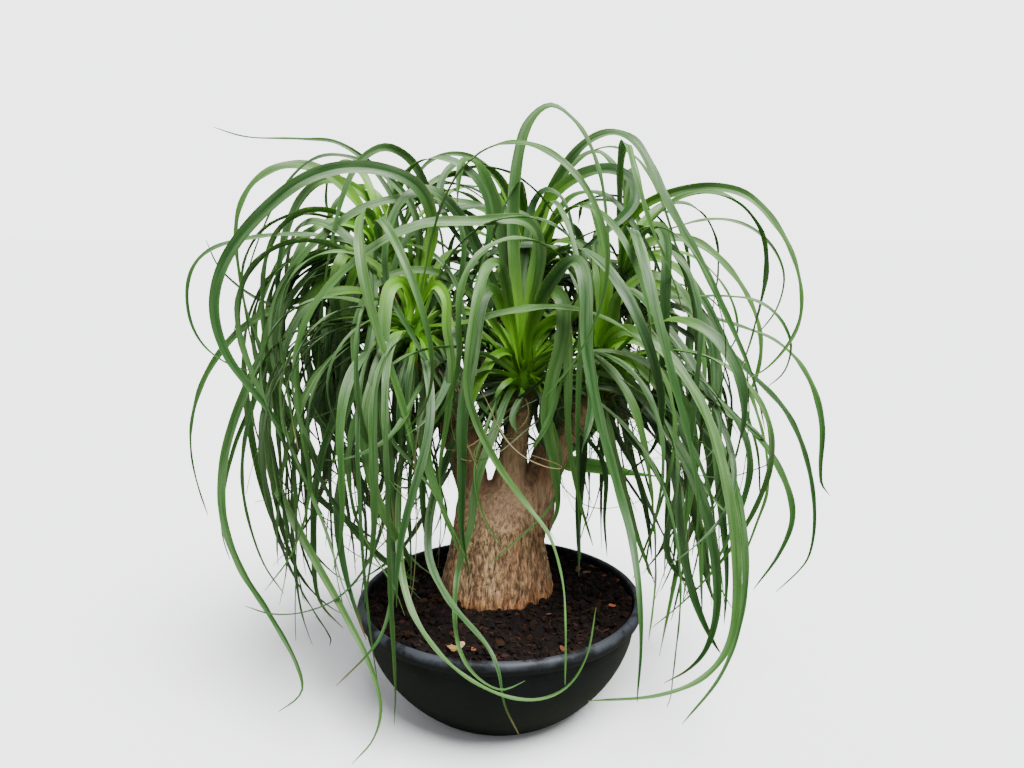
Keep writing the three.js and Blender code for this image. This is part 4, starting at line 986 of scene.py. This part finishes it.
def blocked(point, lowest):
    """Where a thin leaf may not go: out of the dome, in the pot, or over what stands open."""
    x, y, z = point
    across, down = seen_at(point)
    in_view = any(left < across < right and top < down < bottom and y < near
                  for left, top, right, bottom, near in OPEN_VIEWS)
    narrowed = 0.84 + 0.16 * float(smoothstep(z, 0.0, 0.24))
    outside = math.hypot((x - DOME_X) / DOME_ACROSS, (y - DOME_Y) / DOME_DEEP) > narrowed
    in_pot = math.hypot(x, y) < RIM_RADIUS + 0.003 and z < POT_HEIGHT + 0.003
    over_trunk = -0.052 < x < 0.064 and y < 0.01 and z < 0.262
    in_foot = math.hypot(x - TRUNK_X, y - TRUNK_Y) < 0.062 and z < 0.215
    return outside or z < lowest or z > DOME_TOP or in_pot or over_trunk or in_foot or in_view


def arched_way(start, azimuth, rise, length, droop, draw, lively):
    """A way that climbs, arches over and hangs, swaying as it goes, with a curl at its end."""
    fall = math.radians(draw.uniform(-102, -50))
    curl, sweep = math.radians(draw.uniform(-70, 40)) * lively, draw.uniform(-1.6, 1.6) * lively
    sway, phase = draw.uniform(0.2, 0.9) * lively, draw.uniform(0, 6.3)
    path = [start]
    for i in range(14):
        share = (i + 0.5) / 14
        bent = float(smoothstep(share, droop - 0.3, droop + 0.38))
        pitch = rise + (fall - rise) * bent + curl * share**2
        turn = azimuth + sweep * share**2 + sway * share * math.sin(6 * share + phase)
        step = around(turn) * math.cos(pitch) + UP * math.sin(pitch)
        path.append(path[-1] + step * length / 14)
    return path


def add_thin_leaf(skins, axis, age, azimuth, lengths, lowest, draw):
    """A thin leaf: a young one stands before it arches, an old one hangs at once. Where it
    would leave the dome or cross the pot or trunk it is drawn again, and at last left out."""
    narrow = age < 1 and draw.random() < 0.11
    for attempt in range(60):
        turn = azimuth + draw.uniform(-0.6, 0.6)
        rise = math.radians(82 - 68 * age + draw.uniform(-14, 14))
        length = draw.uniform(*lengths) * (0.75 + 0.25 * math.sin(math.pi * min(1, 0.2 + age * 0.75)))
        start = axis[1] + (axis[2] - axis[1]) * (1 - age) * 0.7 + around(turn) * 0.006
        path = arched_way(start, turn, rise, length, draw.uniform(0.12, 0.42) - 0.1 * age, draw,
                          1.8 if narrow else 1.3)
        if not any(blocked(p, lowest) for p in path[2:]):
            break
    else:
        return
    way, _, _ = smooth_way(path, LEAF_STEP * 1.3)
    share = np.linspace(0, 1, len(way))
    widest = draw.uniform(0.0026, 0.0042) if narrow else draw.uniform(0.0056, 0.0112)
    wide = np.maximum(widest * (1 - share ** draw.uniform(2.2, 6.0)), LEAF_THREAD * 0.7)
    wide[-2:] = wide[-2:] * np.array([0.7, 0.4])
    wide = wide * (0.6 + 0.4 * smoothstep(share, 0.0, 0.12))
    ahead = heading(way)
    sides = unit(square_to(ahead, np.cross(around(turn), UP)[None, :]))
    sides = rolled(sides, ahead, draw.uniform(-1.6, 1.6) * share)
    youth = max(0.0, math.sin(rise))
    # Old hanging leaves get a darker tone: partly their own deeper green, partly painted shade for the
    # shade they hang in below the head.
    tone = (0.22 if age > 1 else 0.65) * draw.random() + 0.2 * youth
    add_leaf(skins, way, sides, wide, 0.018 + 0.10 * youth**2, tone, draw, across=THIN_ACROSS)


def add_dry_thread(skins, axis, azimuth, draw):
    """The dried end of an old leaf: a curly thread, green to straw, that hangs from the core."""
    start = axis[0] + (axis[1] - axis[0]) * 0.3 + around(azimuth) * 0.009
    length = draw.uniform(*draw.choice([(0.035, 0.120), (0.120, 0.270)]))
    for attempt in range(30):
        path = arched_way(start, azimuth + draw.uniform(-0.8, 0.8), draw.uniform(-0.5, 0.6), length,
                          0.2, draw, 2.3)
        if not any(blocked(p, THREADS_LOWEST) for p in path[2:]):
            break
    else:
        return
    way, _, _ = smooth_way(path, 0.004)
    wide = draw.uniform(0.0012, 0.0024) * (1 - 0.6 * np.linspace(0, 1, len(way)))
    sides = np.tile(np.cross(around(azimuth), UP), (len(way), 1))
    add_leaf(skins, way, sides, wide, 0.001, 0.1, draw, draw.uniform(0.0, 0.9), THIN_ACROSS)


def add_core(skins, axis, draw):
    """The core, and the dry bases of old leaves that wrap its lower part."""
    foot, middle, top = axis
    way, _, length = smooth_way([foot, foot + (middle - foot) * 0.3, middle, top], 0.003)
    share = np.linspace(0, 1, len(way))[:, None]
    ahead = heading(way)
    side = unit(np.cross(ahead, np.array([0.0, 1.0, 0.0])))
    across = np.cross(ahead, side)
    radius = 0.0103 * (1 - 0.45 * share**2)[..., None]
    turns = np.linspace(0, 2 * np.pi, CORE_SIDES + 1)[:-1]
    loops = way[:, None] + radius * (side[:, None] * np.cos(turns)[:, None]
                                     + across[:, None] * np.sin(turns)[:, None])
    skins.append(np.concatenate([loops, grid(
        turns / (2 * math.pi), share * length, smoothstep(share, 0.3, 0.8), 0.4,
        1 - smoothstep(share, 0.1, 0.6), 0, 0, 0)], axis=-1))
    lean = unit(middle - foot)
    for index in range(OLD_BASES):
        turn = index * GOLDEN_ANGLE + draw.uniform(-0.3, 0.3)
        base = foot + (middle - foot) * (0.02 + 0.5 * index / OLD_BASES)
        outward = side[0] * math.cos(turn) + across[0] * math.sin(turn)
        size = draw.uniform(0.011, 0.021)
        path = [base + outward * 0.0085, base + outward * 0.0118 + lean * size * 0.4,
                base + outward * (0.0140 + draw.uniform(0, 0.004)) + lean * size]
        husk, _, _ = smooth_way(path, 0.0025)
        sides = np.tile(np.cross(outward, lean), (len(husk), 1))
        wide = draw.uniform(0.007, 0.011) * (1 - np.linspace(0, 0.75, len(husk)) ** 2)
        add_leaf(skins, husk, sides, wide, 0.001, 0.3, draw, draw.uniform(0.5, 1.0))


def paint_leaf():
    material, tree = new_material("strap leaf")
    lime, own_tone, browned = parts_of(tree, stored(tree, "leaf_tone"))
    along, underside, off_midrib = parts_of(tree, stored(tree, "leaf_place"))
    # Veins and broader bands run up the leaf.
    blade = add_node(tree, "UVMap", {}, uv_map="blade").outputs["UV"]
    veins = clouds(tree, stretched(tree, blade, (22, 7, 1)), 1, 3, 0.6)
    band_place = stretched(tree, blade, (2.2, 9, 1))
    bands = clouds(tree, band_place, 1, 3, 0.6)
    # Each leaf has its own depth of green, which bands and veins shift a little.
    depth = calculated(tree, "MULTIPLY_ADD", bands, 0.75,
                       calculated(tree, "MULTIPLY_ADD", veins, 0.5, own_tone))
    greens = toned(tree, between(tree, depth, 0, 2, 0, 1), (0.16, (0.0055, 0.028, 0.0055)),
                   (0.52, (0.018, 0.074, 0.0105)), (0.88, (0.062, 0.160, 0.024)))
    limes = toned(tree, bands, (0.3, (0.070, 0.240, 0.004)), (0.75, (0.180, 0.410, 0.010)))
    color = mixed(tree, lime, greens, limes)
    # Painted backlight: the one bright leaf is painted a vivid light green, as if lit through from
    # behind.
    painted_backlight = between(tree, own_tone, BRIGHT_TONE - 0.2, BRIGHT_TONE - 0.1, 0, 1)
    color = mixed(tree, painted_backlight, color, (0.21, 0.66, 0.085))
    # The underside is paler and greyer and the midrib a little darker; a painted highlight makes the
    # edge paler.
    color = mixed(tree, between(tree, underside, 0, 1, 0, 0.5), color, (0.085, 0.160, 0.060))
    midrib = between(tree, off_midrib, 0.0, 0.22, 0.45, 0.0)
    color = mixed(tree, midrib, color, (0.45, 0.62, 0.40), "MULTIPLY")
    # Painted highlight: a pale line along each edge, where the edge catches the light.
    color = mixed(tree, between(tree, off_midrib, 0.88, 1.0, 0.0, 0.35), color, (0.20, 0.30, 0.09))
    # Painted sheen: a pale grey-green laid on the parts that look up, most of all where a leaf arches
    # over, for the light they catch.
    painted_sheen_amount = between(tree, along, 0.35, 0.75, 0.80, 0.15)
    color = add_node(tree, "Group", {
        "Color": color, "Dust And Light Color": (0.215, 0.300, 0.160), "Vector": band_place, "Scale": 1.3,
        "Amount": calculated(tree, "MULTIPLY_ADD", lime, -0.65, painted_sheen_amount), "Bare Sides": 0.42},
        node_tree=dust_and_top_light_group).outputs["Color"]
    straw = toned(tree, veins, (0.25, (0.075, 0.040, 0.018)), (0.8, (0.36, 0.24, 0.10)))
    color = mixed(tree, browned, color, straw)
    surface(tree, color, between(tree, bands, 0.3, 0.7, 0.38, 0.60), 0.33, veins, 0.5, 0.0004)
    feed(tree, tree.nodes["Principled BSDF"], {
        "Subsurface Weight": 0.10, "Subsurface Radius": (0.0010, 0.0022, 0.0004),
        "Subsurface Scale": 1.0})
    return material


leaf_green = paint_leaf()
for number, name in enumerate(LIMBS):
    draw = random.Random(100 + number)
    axis = head_axis(name)
    skins = []
    add_core(skins, axis, draw)
    for blade in blades_of(f"{name}_head"):
        add_read_leaf(skins, axis, blade, draw)
    thin_count, outer_count, hung_count, longest, lowest = THIN_LEAVES[name]
    for index in range(thin_count):
        add_thin_leaf(skins, axis, index / (thin_count - 1), number * 0.9 + index * GOLDEN_ANGLE,
                      (0.22, 0.50), LEAVES_LOWEST, draw)
    outward = math.atan2(axis[0][1] - TRUNK_Y, axis[0][0] - TRUNK_X)
    for index in range(outer_count):
        add_thin_leaf(skins, axis, draw.uniform(0.35, 0.95), outward + draw.uniform(-0.8, 0.8),
                      (0.36, 0.58), LEAVES_LOWEST, draw)
    # Old ones hang at once in the shade below the head, and short ones hide the cores.
    for index in range(hung_count):
        add_thin_leaf(skins, axis, draw.uniform(1.02, 1.3), index * GOLDEN_ANGLE,
                      (0.09, longest), lowest, draw)
    for index in range(SHORT_PER_HEAD):
        add_thin_leaf(skins, axis, draw.uniform(0.3, 1.0), index * GOLDEN_ANGLE, (0.09, 0.20),
                      axis[0][2] - 0.10, draw)
    for index in range(DRY_THREADS):
        add_dry_thread(skins, axis, index * GOLDEN_ANGLE, draw)
    leaves = head_piece(f"{name}_leaves", skins)
    leaves.data.materials.append(leaf_green)
    shade_smooth(leaves, 50)
    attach(leaves, "root")
    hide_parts(f"{name}_head")
